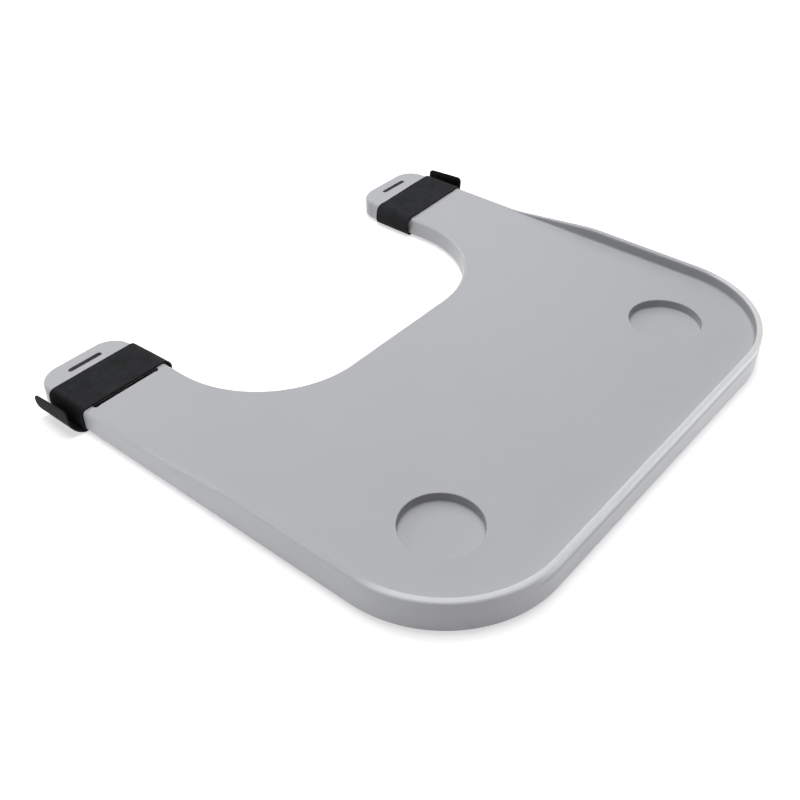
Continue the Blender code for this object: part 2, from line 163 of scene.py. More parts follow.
def select_where(obj: Object, kind: str, wanted: Callable[[Vector], bool]) -> None:
    """Select only the vertices, or the edges, whose middle is in a wanted place, in edit mode.

    Args:
        obj: the object in edit mode.
        kind: VERT or EDGE.
        wanted: says of a place whether it is wanted.
    """
    bpy.ops.mesh.select_mode(type=kind)
    bpy.ops.mesh.select_all(action="DESELECT")
    bm = bmesh.from_edit_mesh(obj.data)
    for item in bm.verts if kind == "VERT" else bm.edges:
        middle = item.co if kind == "VERT" else (item.verts[0].co + item.verts[1].co) / 2
        if wanted(middle):
            item.select_set(True)
    bmesh.update_edit_mesh(obj.data)


def loft(obj: Object, rings: Sequence[Sequence[Vector]]) -> Object:
    """Move an object's one face to the first ring, and extrude it through the others.

    Args:
        obj: the object, in edit mode.
        rings: each ring's places, in the order of the vertices round the face.

    Returns:
        The closed form, in object mode, its faces outwards.
    """
    bm = bmesh.from_edit_mesh(obj.data)
    station = bm.verts.layers.int.new("station")
    bm.faces.ensure_lookup_table()
    for index, vert in enumerate(bm.faces[0].verts):
        vert[station] = index
        vert.co = rings[0][index]
    bmesh.update_edit_mesh(obj.data)
    bpy.ops.mesh.select_all(action="SELECT")
    for ring in rings[1:]:
        bpy.ops.mesh.extrude_region_move()
        bm = bmesh.from_edit_mesh(obj.data)
        station = bm.verts.layers.int["station"]
        for vert in bm.verts:
            if vert.select:
                vert.co = ring[vert[station]]
        bmesh.update_edit_mesh(obj.data)
    bpy.ops.mesh.select_all(action="SELECT")
    bpy.ops.mesh.normals_make_consistent(inside=False)
    bpy.ops.object.mode_set(mode="OBJECT")
    return obj


def arc(center: Vector, radius: float, start: float, end: float, steps: int) -> list[Vector]:
    """Points of an arc in a plane.

    Args:
        center: the arc's middle.
        radius: the arc's radius.
        start: the first angle in degrees.
        end: the last angle in degrees.
        steps: the number of steps between them.

    Returns:
        The points, both ends included.
    """
    angles = [math.radians(start + (end - start) * step / steps) for step in range(steps + 1)]
    return [center + Vector((math.cos(angle), math.sin(angle))) * radius for angle in angles]


def quarter_turns(steps: int) -> list[float]:
    """Angles from 0 to a quarter turn, both included."""
    return [math.pi / 2 * step / steps for step in range(steps + 1)]


def between(one: Vector, two: Vector, steps: int) -> list[Vector]:
    """Points evenly spaced on a straight line, without its two ends."""
    return [one.lerp(two, step / steps) for step in range(1, steps)]


def held(share: float) -> float:
    """A share held between 0 and 1."""
    return min(max(share, 0.0), 1.0)


def eased(share: float) -> float:
    """A share held between 0 and 1, with both ends eased."""
    return held(share) ** 2 * (3 - 2 * held(share))


def place_key(place: Vector) -> tuple[float, float, float]:
    """A place as a key that small rounding leaves as it is."""
    return (round(place.x, 7), round(place.y, 7), round(place.z, 7))


def running_length(points: Sequence[Vector]) -> list[float]:
    """Length of the way from the first point to each point of a line.

    Args:
        points: the line's points.

    Returns:
        One length for each point, from 0.
    """
    lengths = [0.0]
    for one, two in zip(points, points[1:]):
        lengths.append(lengths[-1] + (two - one).length)
    return lengths


def linear(shade: str) -> tuple[float, ...]:
    """Linear RGBA of an sRGB colour, as a shader socket takes it.

    Args:
        shade: six hex digits.

    Returns:
        The four values.
    """
    colour = [channel / 255 for channel in bytes.fromhex(shade)]
    return (*(one / 12.92 if one <= 0.04045 else ((one + 0.055) / 1.055) ** 2.4 for one in colour), 1.0)


def band_scale(period: float) -> float:
    """Scale of a wave texture in metres whose bands repeat at this real distance."""
    return 2 * math.pi / (20 * period)


def add_node(
    tree: NodeTree, kind: str, inputs: Optional[dict[object, object]] = None, **settings: object
) -> Node:
    """Add a shader node, set its own values, and fill or link its inputs.

    Args:
        tree: the node tree.
        kind: the node's type, without "ShaderNode" before it.
        inputs: for each input's name or number a value, an output, or a node whose first output it takes.
        settings: values of the node itself.

    Returns:
        The new node.
    """
    node = tree.nodes.new("ShaderNode" + kind)
    for key, value in settings.items():
        setattr(node, key, value)
    for key, value in (inputs or {}).items():
        if isinstance(value, Node):
            value = next(output for output in value.outputs if output.enabled)
        if isinstance(value, NodeSocket):
            tree.links.new(value, node.inputs[key])
        else:
            node.inputs[key].default_value = value
    return node


def off_middle(
    tree: NodeTree, value: object, middle: float, start: float, end: float, blend: str = "LINEAR"
) -> Node:
    """Measure how far a value lies off a middle.

    Args:
        tree: the node tree.
        value: the output to measure.
        middle: the value that is 0 off.
        start: the distance that gives 0.
        end: the distance that gives 1.
        blend: how it goes from the one to the other.

    Returns:
        The node that gives the share.
    """
    offset = add_node(tree, "Math", {0: value, 1: middle}, operation="SUBTRACT")
    distance = add_node(tree, "Math", {0: offset}, operation="ABSOLUTE")
    ends = {"Value": distance, "From Min": start, "From Max": end}
    return add_node(tree, "MapRange", ends, interpolation_type=blend)


def shows_background(tree: NodeTree) -> Node:
    """Give 1 to the camera, mirror and see-through rays that show the background, and 0 to the others.

    Args:
        tree: the node tree.

    Returns:
        The node that gives it.
    """
    seen = add_node(tree, "LightPath").outputs
    direct = add_node(tree, "Math", {0: seen["Is Camera Ray"], 1: seen["Is Glossy Ray"]}, operation="MAXIMUM")
    return add_node(tree, "Math", {0: direct, 1: seen["Is Transmission Ray"]}, operation="MAXIMUM")


@dataclass(frozen=True)
class Finish:
    """A surface finish: a named material whose shader each kind of finish wires up."""

    name: str

    def shader(self, tree: NodeTree) -> Node:
        """Wire up the finish in a node tree and give its last shader."""
        raise NotImplementedError

    def build(self) -> Material:
        """Make the material.

        Returns:
            The material with all its nodes.
        """
        material = bpy.data.materials.new(self.name)
        material.use_nodes = True
        material.node_tree.nodes.clear()
        add_node(material.node_tree, "OutputMaterial", {"Surface": self.shader(material.node_tree)})
        return material


@dataclass(frozen=True)
class MouldedPlastic(Finish):
    """Light grey high-impact polystyrene, injection moulded in a spark-eroded tool.

    The tool leaves a fine even grain that spreads highlights into a satin sheen. A painted highlight
    makes the front edge paler and smoother, and painted shade darkens the hollow under its bead.
    """

    name: str = "moulded_polystyrene_light_grey"
    shade: str = "C0C1C5"
    dark_shade: str = "BABBBF"
    # Painted highlight colour, then painted shade colour
    highlight_shade: str = "E4E5E6"
    shadow_shade: str = "A4A5A8"
    roughness: tuple[float, float] = (0.34, 0.46)
    highlight_roughness: float = 0.36
    grain_size: float = 0.9 * MM
    grain_height: float = 0.012 * MM
    cloud_size: float = 60 * MM

    def shader(self, tree: NodeTree) -> Node:
        """Shade the plastic by the painted light on its vertices: painted highlight above 0, painted shade
        below.

        Args:
            tree: the node tree.

        Returns:
            The shader.
        """
        place = add_node(tree, "TexCoord").outputs["Object"]
        painted_light = add_node(tree, "Attribute", attribute_name="painted_light").outputs["Fac"]
        painted_shade = add_node(tree, "Math", {0: painted_light, 1: -1.0}, operation="MULTIPLY")
        cloud = add_node(
            tree, "TexNoise",
            {"Vector": place, "Scale": 1 / self.cloud_size, "Detail": 3.0, "Roughness": 0.55},
        )
        # The real grain is about 0.2 mm; it is drawn coarser so that it shows from a step away
        fine = add_node(
            tree, "TexNoise", {"Vector": place, "Scale": 1 / self.grain_size, "Detail": 2.0, "Roughness": 0.6}
        )
        colour = linear(self.dark_shade)
        # Random tone, then painted shade, then painted highlight
        for share, shade in ((cloud, self.shade), (painted_shade, self.shadow_shade), (painted_light, self.highlight_shade)):
            mixed = {"Factor": share, "A": colour, "B": linear(shade)}
            colour = add_node(tree, "Mix", mixed, data_type="RGBA")
        smooth, rough = self.roughness
        patch = add_node(
            tree, "MapRange",
            {"Value": cloud, "From Min": 0.3, "From Max": 0.7, "To Min": smooth, "To Max": rough},
        )
        painted_marks = {"Factor": painted_light, "A": patch, "B": self.highlight_roughness}
        bump = add_node(tree, "Bump", {"Height": fine, "Distance": self.grain_height, "Strength": 1.0})
        return add_node(
            tree, "BsdfPrincipled",
            {
                "Base Color": colour,
                "Roughness": add_node(tree, "Mix", painted_marks, data_type="FLOAT"),
                "Normal": bump, "IOR": 1.5, "Specular IOR Level": 0.32,
            },
        )


@dataclass(frozen=True)
class LoopWebbing(Finish):
    """Charcoal nylon webbing with a brushed loop pile between two plain woven selvages.

    The pile is a dense felt of tiny loops, so it looks matt and soft. It lies in fine courses across
    the strap. On the arm's outer side, between the band and the pull tab, a painted shadow darkens it
    nearly to black. The selvages are smoother.
    """

    name: str = "brushed_nylon_loop_webbing_charcoal"
    shade: str = "2E2F31"
    dark_shade: str = "202122"
    selvage_shade: str = "1B1B1D"
    tab_shadow_shade: str = "0B0B0C"
    roughness: float = 0.92
    selvage_roughness: float = 0.7
    loop_size: float = 0.8 * MM
    loop_height: float = 0.18 * MM
    course: float = 1.6 * MM
    tuft_size: float = 5 * MM
    patch_size: float = 22 * MM
    half_width: float = 24.75 * MM
    selvage_width: float = 2.2 * MM
    selvage_blend: float = 0.3 * MM
    # Painted shadow on the band's outer side behind the pull tab, placed along the strap from its tail
    tab_shadow_middle: float = 72 * MM
    tab_shadow_half: float = 14 * MM
    tab_shadow_blend: float = 6 * MM

    def shader(self, tree: NodeTree) -> Node:
        """Shade the webbing by its own place in metres: X from its tail on, Y across it.

        Args:
            tree: the node tree.

        Returns:
            The shader.
        """
        along = add_node(tree, "UVMap", uv_map=STRAP_CHART)
        axes = add_node(tree, "SeparateXYZ", {"Vector": along}).outputs
        loops = add_node(
            tree, "TexVoronoi",
            {"Vector": along, "Scale": 1 / self.loop_size, "Smoothness": 0.6, "Randomness": 0.85},
            feature="SMOOTH_F1",
        )
        tufts = add_node(
            tree, "TexNoise", {"Vector": along, "Scale": 1 / self.tuft_size, "Detail": 6.0, "Roughness": 0.7}
        )
        patches = add_node(
            tree, "TexNoise",
            {"Vector": along, "Scale": 1 / self.patch_size, "Detail": 2.0, "Distortion": 0.6},
        )
        # The real courses are about 0.5 mm apart; they are drawn wider so that they show
        courses = add_node(
            tree, "TexWave",
            {"Vector": along, "Scale": band_scale(self.course), "Distortion": 2.0, "Detail": 2.0},
        ).outputs["Fac"]
        ribbed = add_node(tree, "Math", {0: courses, 1: 0.25, 2: tufts}, operation="MULTIPLY_ADD")
        height = add_node(tree, "Math", {0: loops, 1: -1.0, 2: ribbed}, operation="MULTIPLY_ADD")
        mottle = add_node(tree, "Math", {0: tufts, 1: patches}, operation="MULTIPLY")
        spread = add_node(tree, "MapRange", {"Value": mottle, "From Min": 0.12, "From Max": 0.38})
        pile = self.half_width - self.selvage_width
        edge = off_middle(
            tree, axes["Y"], self.half_width, pile - self.selvage_blend, pile + self.selvage_blend
        )
        # Painted shadow on the band's outer side, where the pull tab stands in front of it
        tab_shadow = off_middle(
            tree, axes["X"], self.tab_shadow_middle, self.tab_shadow_half, self.tab_shadow_half - self.tab_shadow_blend,
            "SMOOTHSTEP",
        )
        colour = linear(self.dark_shade)
        for share, shade in ((spread, self.shade), (edge, self.selvage_shade), (tab_shadow, self.tab_shadow_shade)):
            mixed = {"Factor": share, "A": colour, "B": linear(shade)}
            colour = add_node(tree, "Mix", mixed, data_type="RGBA")
        woven = {"Factor": edge, "A": self.roughness, "B": self.selvage_roughness}
        bump = add_node(tree, "Bump", {"Height": height, "Distance": self.loop_height, "Strength": 1.0})
        return add_node(
            tree, "BsdfPrincipled",
            {
                "Base Color": colour,
                "Roughness": add_node(tree, "Mix", woven, data_type="FLOAT"),
                "Normal": bump, "Specular IOR Level": 0.1, "Sheen Weight": 0.04, "Sheen Roughness": 0.6,
            },
        )


@dataclass(frozen=True)
class HookNylon(Finish):
    """Black extruded nylon of the hook tape, whose rows of small hooks catch pinpoint highlights."""

    name: str = "nylon_hook_tape_black"
    shade: str = "0E0E0F"
    dark_shade: str = "070708"
    roughness: float = 0.6
    gloss: float = 0.1
    pitch: float = 1.2 * MM
    height: float = 0.06 * MM
    distortion: float = 1.5
    direction: str = "X"

    def place(self, tree: NodeTree) -> NodeSocket:
        """The surface's own place in metres."""
        return add_node(tree, "UVMap", uv_map=STRAP_CHART).outputs["UV"]

    def shader(self, tree: NodeTree) -> Node:
        """Shade fine raised rows.

        Args:
            tree: the node tree.

        Returns:
            The shader.
        """
        rows = add_node(
            tree, "TexWave",
            {"Vector": self.place(tree), "Scale": band_scale(self.pitch), "Distortion": self.distortion},
            bands_direction=self.direction,
        ).outputs["Fac"]
        mixed = {"Factor": rows, "A": linear(self.dark_shade), "B": linear(self.shade)}
        return add_node(
            tree, "BsdfPrincipled",
            {
                "Base Color": add_node(tree, "Mix", mixed, data_type="RGBA"),
                "Normal": add_node(tree, "Bump", {"Height": rows, "Distance": self.height, "Strength": 1.0}),
                "Roughness": self.roughness, "Specular IOR Level": self.gloss,
            },
        )


@dataclass(frozen=True)
class SewingThread(HookNylon):
    """Black bonded polyester thread: a tight twist with a slight shine along each turn."""

    name: str = "bonded_polyester_thread_black"
    shade: str = "1C1C1E"
    dark_shade: str = "0C0C0D"
    roughness: float = 0.5
    gloss: float = 0.3
    pitch: float = 0.6 * MM
    height: float = 0.05 * MM
    distortion: float = 0.0
    direction: str = "DIAGONAL"

    def place(self, tree: NodeTree) -> NodeSocket:
        """The surface's own place in metres."""
        return add_node(tree, "TexCoord").outputs["Object"]


@dataclass(frozen=True)
class PaperSweep(Finish):
    """A white paper floor that is seen from above only and keeps a soft shadow.

    It glows for the rays that show the background, less near the object, and not at all under the
    arms' slots, so that they look deep.
    """

    name: str = "white_paper_sweep"
    shade: str = "EDEDED"
    glow: float = 0.62
    far_glow: float = 1.0
    glow_rises: tuple[float, float] = (0.5, 1.1)
    arms_middle: tuple[float, float] = (236 * MM, 197 * MM)
    arms_half: tuple[float, float] = (39 * MM, 48 * MM)
    arms_fade: float = 8 * MM

    def shader(self, tree: NodeTree) -> Node:
        """Shade the paper.

        Args:
            tree: the node tree.

        Returns:
            The shader.
        """
        paper = add_node(tree, "BsdfDiffuse", {"Color": linear(self.shade)})
        place = add_node(tree, "TexCoord").outputs["Object"]
        near, far = self.glow_rises
        rise = add_node(
            tree, "MapRange",
            {
                "Value": add_node(tree, "VectorMath", {0: place}, operation="LENGTH"),
                "From Min": near, "From Max": far, "To Min": self.glow, "To Max": self.far_glow,
            },
        )
        axes = add_node(tree, "SeparateXYZ", {"Vector": place}).outputs
        mirrored = add_node(tree, "Math", {0: axes["X"]}, operation="ABSOLUTE")
        outside = [
            off_middle(tree, value, middle, half - self.arms_fade, half, "SMOOTHSTEP")
            for value, middle, half in zip((mirrored, axes["Y"]), self.arms_middle, self.arms_half)
        ]
        clear_of_arms = add_node(tree, "Math", dict(enumerate(outside)), operation="MAXIMUM")
        strength = add_node(tree, "Math", {0: clear_of_arms, 1: rise}, operation="MULTIPLY")
        glow = add_node(tree, "Emission", {"Color": (1, 1, 1, 1), "Strength": strength})
        white = add_node(tree, "AddShader", {0: paper, 1: glow})
        top = add_node(tree, "MixShader", {0: shows_background(tree), 1: paper, 2: white})
        below = add_node(tree, "NewGeometry").outputs["Backfacing"]
        return add_node(tree, "MixShader", {0: below, 1: top, 2: add_node(tree, "BsdfTransparent")})


@dataclass(frozen=True)
class Station:
    """One place on an outline: its point, the way from there into the ring, and the rim's share."""

    point: Vector
    way: Vector
    rim: float = 0

    def at(self, distance: float, height: float) -> Vector:
        """The place this far along the way, at this height."""
        return Vector((*(self.point + self.way * distance), height))


def rings_through(stations: Sequence[Station], profile: Sequence[Sequence[float]]) -> list[list[Vector]]:
    """Rings through a section that is the same at every station, one for each (distance, height)."""
    return [[station.at(distance, height) for station in stations] for distance, height in profile]


def ring_cutter(name: str, stations: Sequence[Station], profile: Sequence[Sequence[float]]) -> Object:
    """A closed cutter: a disc lofted through a section that is the same at every station.

    Args:
        name: the cutter's name.
        stations: the disc's outline.
        profile: the section, as (distance, height) from its first face to its last.

    Returns:
        The cutter.
    """
    deselect_all()
    bpy.ops.mesh.primitive_circle_add(vertices=len(stations), fill_type="NGON")
    cutter = new_piece(name)
    edit_all()
    return loft(cutter, rings_through(stations, profile))


def round_bottom(obj: Object, low: float, width: float, steps: int) -> Object:
    """Round the lowest edges of the active object.

    Args:
        obj: the object, in object mode.
        low: the height of its lowest edges.
        width: the round's width.
        steps: the round's steps.

    Returns:
        The same object.
    """
    bpy.ops.object.mode_set(mode="EDIT")
    select_where(obj, "EDGE", lambda at: at.z < low + MERGE)
    bpy.ops.mesh.bevel(offset=width, segments=steps)
    bpy.ops.object.mode_set(mode="OBJECT")
    return obj


@dataclass
class MouldedTray:
    """The one-piece moulding: deck, raised rim, ramps, arms, cup recesses, slots and ribbed underside."""

    half_width: float = 290.5 * MM
    front_y: float = -265.5 * MM
    waist_y: float = 42 * MM
    arm_end_y: float = 266 * MM
    cut_out_x: float = 190 * MM
    front_corner_radius: float = 118.3 * MM
    waist_radius: float = 116.5 * MM
    arm_end_radius: float = 26 * MM
    foot_z: float = 3.8 * MM
    skirt_height: float = 21 * MM
    wall: float = 3.2 * MM
    edge_radius: float = 4.3 * MM
    foot_round: float = 0.6 * MM
    rim_rise: float = 12.8 * MM
    rim_thickness: float = 6.3 * MM
    rim_fillet: float = 2 * MM
    nose_squareness: float = 3.6
    bead_proud: float = 0.5 * MM
    bead_low: float = -7 * MM
    bead_high: float = 8.9 * MM
    # Painted highlight on the front edge's bead and crest, painted shade in the hollow under the bead
    highlight_low: float = 4 * MM
    highlight_blend: float = 8.6 * MM
    highlight_fall: float = 4
    crest_rise: float = 6
    crest_turn: float = 0.35
    face_turn: float = 0.96
    shade_z: float = 3.2 * MM
    shade_reach: float = 4 * MM
    # Painted shade on the rim's inner wall, the cup walls and the slot walls
    recess_shade: float = 0.6
    slot_shade: float = 1.0
    # Painted highlight on the cut-out's wall
    lap_highlight: float = 0.35
    ramp_low_y: float = 108 * MM
    ramp_length: float = 134 * MM
    ramp_rounding: float = 0.2
    cup_x: float = 192 * MM
    cup_y: float = -162.3 * MM
    cup_radius: float = 37.5 * MM
    cup_depth: float = 9.5 * MM
    cup_lip: float = 1 * MM
    cup_fillet: float = 1.2 * MM
    slot_width: float = 5.4 * MM
    slot_lip: float = 0.2 * MM
    slot_flare: float = 0.6 * MM
    end_slot_length: float = 39.5 * MM
    end_slot_setback: float = 17.4 * MM
    long_slot_length: float = 78 * MM
    long_slot_setback: float = 81 * MM
    long_slot_swell: float = 0.7 * MM
    rib_thickness: float = 2.4 * MM
    rib_depth: float = 3.5 * MM
    rib_round: float = 0.6 * MM
    guide_rib_x: float = 186 * MM
    roof_fillet: float = 1.2 * MM
    ribs_per_side: int = 3
    cross_ribs: int = 4
    overrun: float = 5 * MM
    front_corner_steps: int = 48
    waist_steps: int = 48
    arm_end_steps: int = 20
    side_cuts: int = 70
    foot_steps: int = 3
    nose_steps: int = 14
    bead_steps: int = 16
    fillet_steps: int = 5
    cup_steps: int = 144
    cup_floor_steps: int = 8
    slot_end_steps: int = 20
    flare_steps: int = 4
    lip_steps: int = 3
    rib_round_steps: int = 3
    boss_round_steps: int = 4

    @property
    def deck_z(self) -> float:
        """Height of the deck."""
        return self.foot_z + self.skirt_height

    @property
    def skin_z(self) -> float:
        """Height of the deck's underside."""
        return self.deck_z - self.wall

    @property
    def arm_x(self) -> float:
        """Distance from the middle plane to the middle of an arm."""
        return (self.half_width + self.cut_out_x) / 2

    def plan_face(self, name: str, height: float) -> Object:
        """The tray's plan as one flat face, with its corners rounded.

        Args:
            name: the object's name.
            height: the height that the face lies at.

        Returns:
            The object that holds the face, in edit mode.
        """
        deselect_all()
        middle_y = (self.waist_y + self.front_y) / 2
        bpy.ops.mesh.primitive_plane_add(size=1, location=(self.half_width / 2, middle_y, height))
        plan = new_piece(name, (self.half_width, self.waist_y - self.front_y, 1))
        edit_all()
        bpy.ops.mesh.bisect(plane_co=(self.cut_out_x, 0, 0), plane_no=(1, 0, 0))
        select_where(plan, "EDGE", lambda at: at.y > self.waist_y - MERGE and at.x > self.cut_out_x)
        reach = self.arm_end_y - self.waist_y
        bpy.ops.mesh.extrude_edges_move(TRANSFORM_OT_translate={"value": (0, reach, 0)})
        bpy.ops.mesh.select_all(action="SELECT")
        bpy.ops.mesh.dissolve_limited(angle_limit=math.radians(1))
        for x, y, radius, steps in (
            (self.half_width, self.front_y, self.front_corner_radius, self.front_corner_steps),
            (self.half_width, self.arm_end_y, self.arm_end_radius, self.arm_end_steps),
            (self.cut_out_x, self.arm_end_y, self.arm_end_radius, self.arm_end_steps),
            (self.cut_out_x, self.waist_y, self.waist_radius, self.waist_steps),
        ):
            select_where(plan, "VERT", lambda at: (at.xy - Vector((x, y))).length < MERGE)
            bpy.ops.mesh.bevel(offset=radius, segments=steps, affect="VERTICES")
        select_where(plan, "EDGE", lambda at: at.x > self.half_width - MERGE)
        bpy.ops.mesh.subdivide(number_cuts=self.side_cuts)
        bpy.ops.object.mode_set(mode="OBJECT")
        apply_modifier(plan, "MIRROR", merge_threshold=MERGE)
        bpy.ops.object.mode_set(mode="EDIT")
        select_where(plan, "EDGE", lambda at: abs(at.x) < MERGE)
        bpy.ops.mesh.dissolve_edges(use_verts=False)
        bpy.ops.mesh.select_mode(type="FACE")
        return plan

    def ramp_share(self, y: float) -> float:
        """How much of the rim stands at this place along a side.

        Args:
            y: the place.

        Returns:
            1 in front of the ramp, 0 behind it, with both ends eased.
        """
        share = held((self.ramp_low_y - y) / self.ramp_length)
        rounding = self.ramp_rounding
        if share < rounding:
            return share ** 2 / (2 * rounding * (1 - rounding))
        if share > 1 - rounding:
            return 1 - (1 - share) ** 2 / (2 * rounding * (1 - rounding))
        return (share - rounding / 2) / (1 - rounding)

    def stations(self, plan: Object) -> list[Station]:
        """Read the outline's stations from the plan's face, with the ways into the plastic.

        Args:
            plan: the plan, in edit mode.

        Returns:
            The stations, in the order of the vertices round the face.
        """
        bm = bmesh.from_edit_mesh(plan.data)
        bm.faces.ensure_lookup_table()
        turn = 1 if bm.faces[0].normal.z > 0 else -1
        places = [vert.co.xy for vert in bm.faces[0].verts]
        found = []
        for before, point, after in zip([places[-1], *places], places, [*places[1:], places[0]]):
            forward = ((point - before).normalized() + (after - point).normalized()).normalized()
            on_rim = abs(point.x) > self.arm_x or point.y < self.ramp_low_y - self.ramp_length
            rim = self.ramp_share(point.y) if on_rim else 0
            found.append(Station(point.copy(), Vector((-forward.y, forward.x)) * turn, rim))
        return found

    def foot_profile(self) -> list[Vector]:
        """The skirt's foot with its small round, as (inset, height above the deck) points."""
        center = Vector((self.foot_round, self.foot_round - self.skirt_height))
        return arc(center, self.foot_round, 270, 180, self.foot_steps)

    def rim_profile(self) -> list[Vector]:
        """Section with the full rim: foot, skirt swelling out to the bead, nose, inner wall and fillet.

        Returns:
            The (inset, height above the deck) points.
        """
        points = self.foot_profile()
        for number in range(self.bead_steps + 1):
            height = self.bead_low + (self.bead_high - self.bead_low) * number / self.bead_steps
            risen = (height + self.skirt_height) / (self.bead_high + self.skirt_height)
            points.append(Vector((-self.bead_proud * eased(risen), height)))
        half = self.rim_thickness / 2
        nose = Vector((half - self.bead_proud, self.rim_rise - half))
        # The nose's top is a little flatter than a half round
        power = 2 / self.nose_squareness
        for turn in arc(Vector((0, 0)), 1, 180, 0, self.nose_steps):
            across = math.copysign(abs(turn.x) ** power, turn.x)
            points.append(nose + Vector((across, abs(turn.y) ** power)) * half)
        foot = Vector((self.rim_thickness - self.bead_proud + self.rim_fillet, self.rim_fillet))
        return points + arc(foot, self.rim_fillet, 180, 270, self.fillet_steps)

    def plain_profile(self) -> list[Vector]:
        """Section with no rim: foot, skirt, quarter round and deck, point for point with the rim's.

        Returns:
            The (inset, height above the deck) points.
        """
        round_steps = self.bead_steps + 1 + self.nose_steps // 2
        flat_steps = self.nose_steps - self.nose_steps // 2 + self.fillet_steps + 1
        flat = self.rim_thickness - self.bead_proud + self.rim_fillet - self.edge_radius
        turn = arc(Vector((self.edge_radius, -self.edge_radius)), self.edge_radius, 180, 90, round_steps)
        deck = [Vector((self.edge_radius + flat * step / flat_steps, 0)) for step in range(1, flat_steps + 1)]
        return self.foot_profile() + turn + deck

    def outer_form(self) -> tuple[Object, PaintedLight]:
        """The moulding's solid outer form, lofted through its sections from the foot over the rim.

        Returns:
            The solid form, and the painted highlight and shade at each of its places.
        """
        body = self.plan_face("moulded_tray", self.foot_z)
        stations = self.stations(body)
        rings = []
        for plain, rimmed in zip(self.plain_profile(), self.rim_profile()):
            sections = [plain.lerp(rimmed, station.rim) for station in stations]
            rings.append([one.at(at.x, self.deck_z + at.y) for one, at in zip(stations, sections)])
        return loft(body, rings), self.painted_light_places(rings, stations)

    def painted_light_places(self, rings: Sequence[Sequence[Vector]], stations: Sequence[Station]) -> PaintedLight:
        """Work out the painted light: painted highlight above 0 on the front edge and the cut-out, painted
        shade below 0 under the bead and on the rim's inner wall.

        Args:
            rings: the rings that the form was lofted through.
            stations: the outline's stations.

        Returns:
            The painted light at each place of the form.
        """
        first_bead = self.foot_steps + 1
        first_nose = first_bead + self.bead_steps + 1
        painted_marks = {}
        for number, (ring, at) in enumerate(zip(rings, self.rim_profile())):
            turn = (number - first_nose) / self.nose_steps
            face = crest = painted_shade = 0.0
            if first_bead <= number and turn <= 1:
                # Painted highlight on the bead's outer face and crest, painted shade in the hollow under the
                # bead
                over = eased(self.highlight_fall * (1 - turn))
                face = over * eased((at.y - self.highlight_low) / self.highlight_blend)
                crest = over * eased(self.crest_rise * turn)
                painted_shade = eased(1 - abs(at.y - self.shade_z) / self.shade_reach)
            # Painted shade on the rim's inner wall
            inner = self.recess_shade if turn >= 1 and number < len(rings) - 1 else 0.0
            for place, station in zip(ring, stations):
                edge = (face - painted_shade) * eased((station.way.y - self.face_turn) / (1 - self.face_turn))
                if crest > 0:
                    edge = max(edge, crest * eased(station.way.y / self.crest_turn))
                x, y = station.point
                in_cut_out = abs(x) < self.cut_out_x + MERGE and y > self.waist_y - MERGE
                # Painted highlight on the cut-out's wall
                lap = self.lap_highlight if in_cut_out and number < first_nose else 0.0
                painted_marks[place_key(place)] = (edge - inner) * station.rim + lap
        return painted_marks

    def mark_painted_light(self, tray: Object, painted_marks: PaintedLight) -> None:
        """Write the painted light on the tray's vertices, with painted shade on the walls of the recesses and
        slots.

        Args:
            tray: the tray with its recesses and slots cut.
            painted_marks: the painted highlight and shade at each place of its outer form.
        """
        slots = (
            (self.arm_end_y - self.end_slot_setback, self.end_slot_length),
            (self.arm_end_y - self.long_slot_setback, self.long_slot_length),
        )
        painted_light = tray.data.attributes.new("painted_light", "FLOAT", "POINT")
        for vert, mark in zip(tray.data.vertices, painted_light.data):
            mark.value = painted_marks.get(place_key(vert.co), 0.0)
            place = Vector((abs(vert.co.x), vert.co.y))
            off_wall = abs((place - Vector((self.cup_x, self.cup_y))).length - self.cup_radius)
            # Painted shade on the cup recess walls
            if off_wall < self.cup_fillet / 2 and vert.co.z < self.deck_z - self.cup_lip / 2:
                mark.value = -self.recess_shade
            # Painted shade on the slot walls
            if self.skin_z + MERGE < vert.co.z < self.deck_z - self.slot_lip / 2:
                for middle_y, length in slots:
                    beside = abs(place.x - self.arm_x) < length / 2 + MM
                    off_middle_y = abs(place.y - middle_y)
                    if beside and off_middle_y < self.slot_width / 2 + self.long_slot_swell + MERGE:
                        mark.value = -self.slot_shade

    def cavity(self) -> Object:
        """The open underside as a cutter: the plan drawn in by the wall, less ribs and cup bosses.

        Returns:
            The cutter.
        """
        low = self.foot_z - self.overrun
        hollow = self.plan_face("underside", low)
        roof = Vector((self.wall + self.roof_fillet, self.skin_z - self.roof_fillet))
        profile = [Vector((self.wall, low)), *arc(roof, self.roof_fillet, 180, 90, self.fillet_steps)]
        loft(hollow, rings_through(self.stations(hollow), profile))
        back = self.waist_y + self.waist_radius
        spacing = self.guide_rib_x / self.ribs_per_side
        cut(hollow, joined([
            self.rib("long_rib", (spacing * number, (self.front_y + back) / 2),
                     (self.rib_thickness, back - self.front_y))
            for number in range(-self.ribs_per_side, self.ribs_per_side + 1)
        ]))
        spacing = (self.waist_y - self.front_y) / (self.cross_ribs + 1)
        cut(hollow, joined([
            self.rib("cross_rib", (0, self.front_y + spacing * number),
                     (2 * self.guide_rib_x, self.rib_thickness))
            for number in range(1, self.cross_ribs + 1)
        ]))
        for side in Side:
            cut(hollow, self.cup_boss(side))
        return hollow

    def rib(self, name: str, center: tuple[float, float], size: tuple[float, float]) -> Object:
        """One rib under the deck, its free edges rounded.

        Args:
            name: the rib's name.
            center: its middle, seen from above.
            size: its two sizes, seen from above.

        Returns:
            The rib.
        """
        low, high = self.skin_z - self.rib_depth, self.skin_z + self.overrun
        deselect_all()
        bpy.ops.mesh.primitive_cube_add(size=1, location=(*center, (low + high) / 2))
        return round_bottom(new_piece(name, (*size, high - low)), low, self.rib_round, self.rib_round_steps)

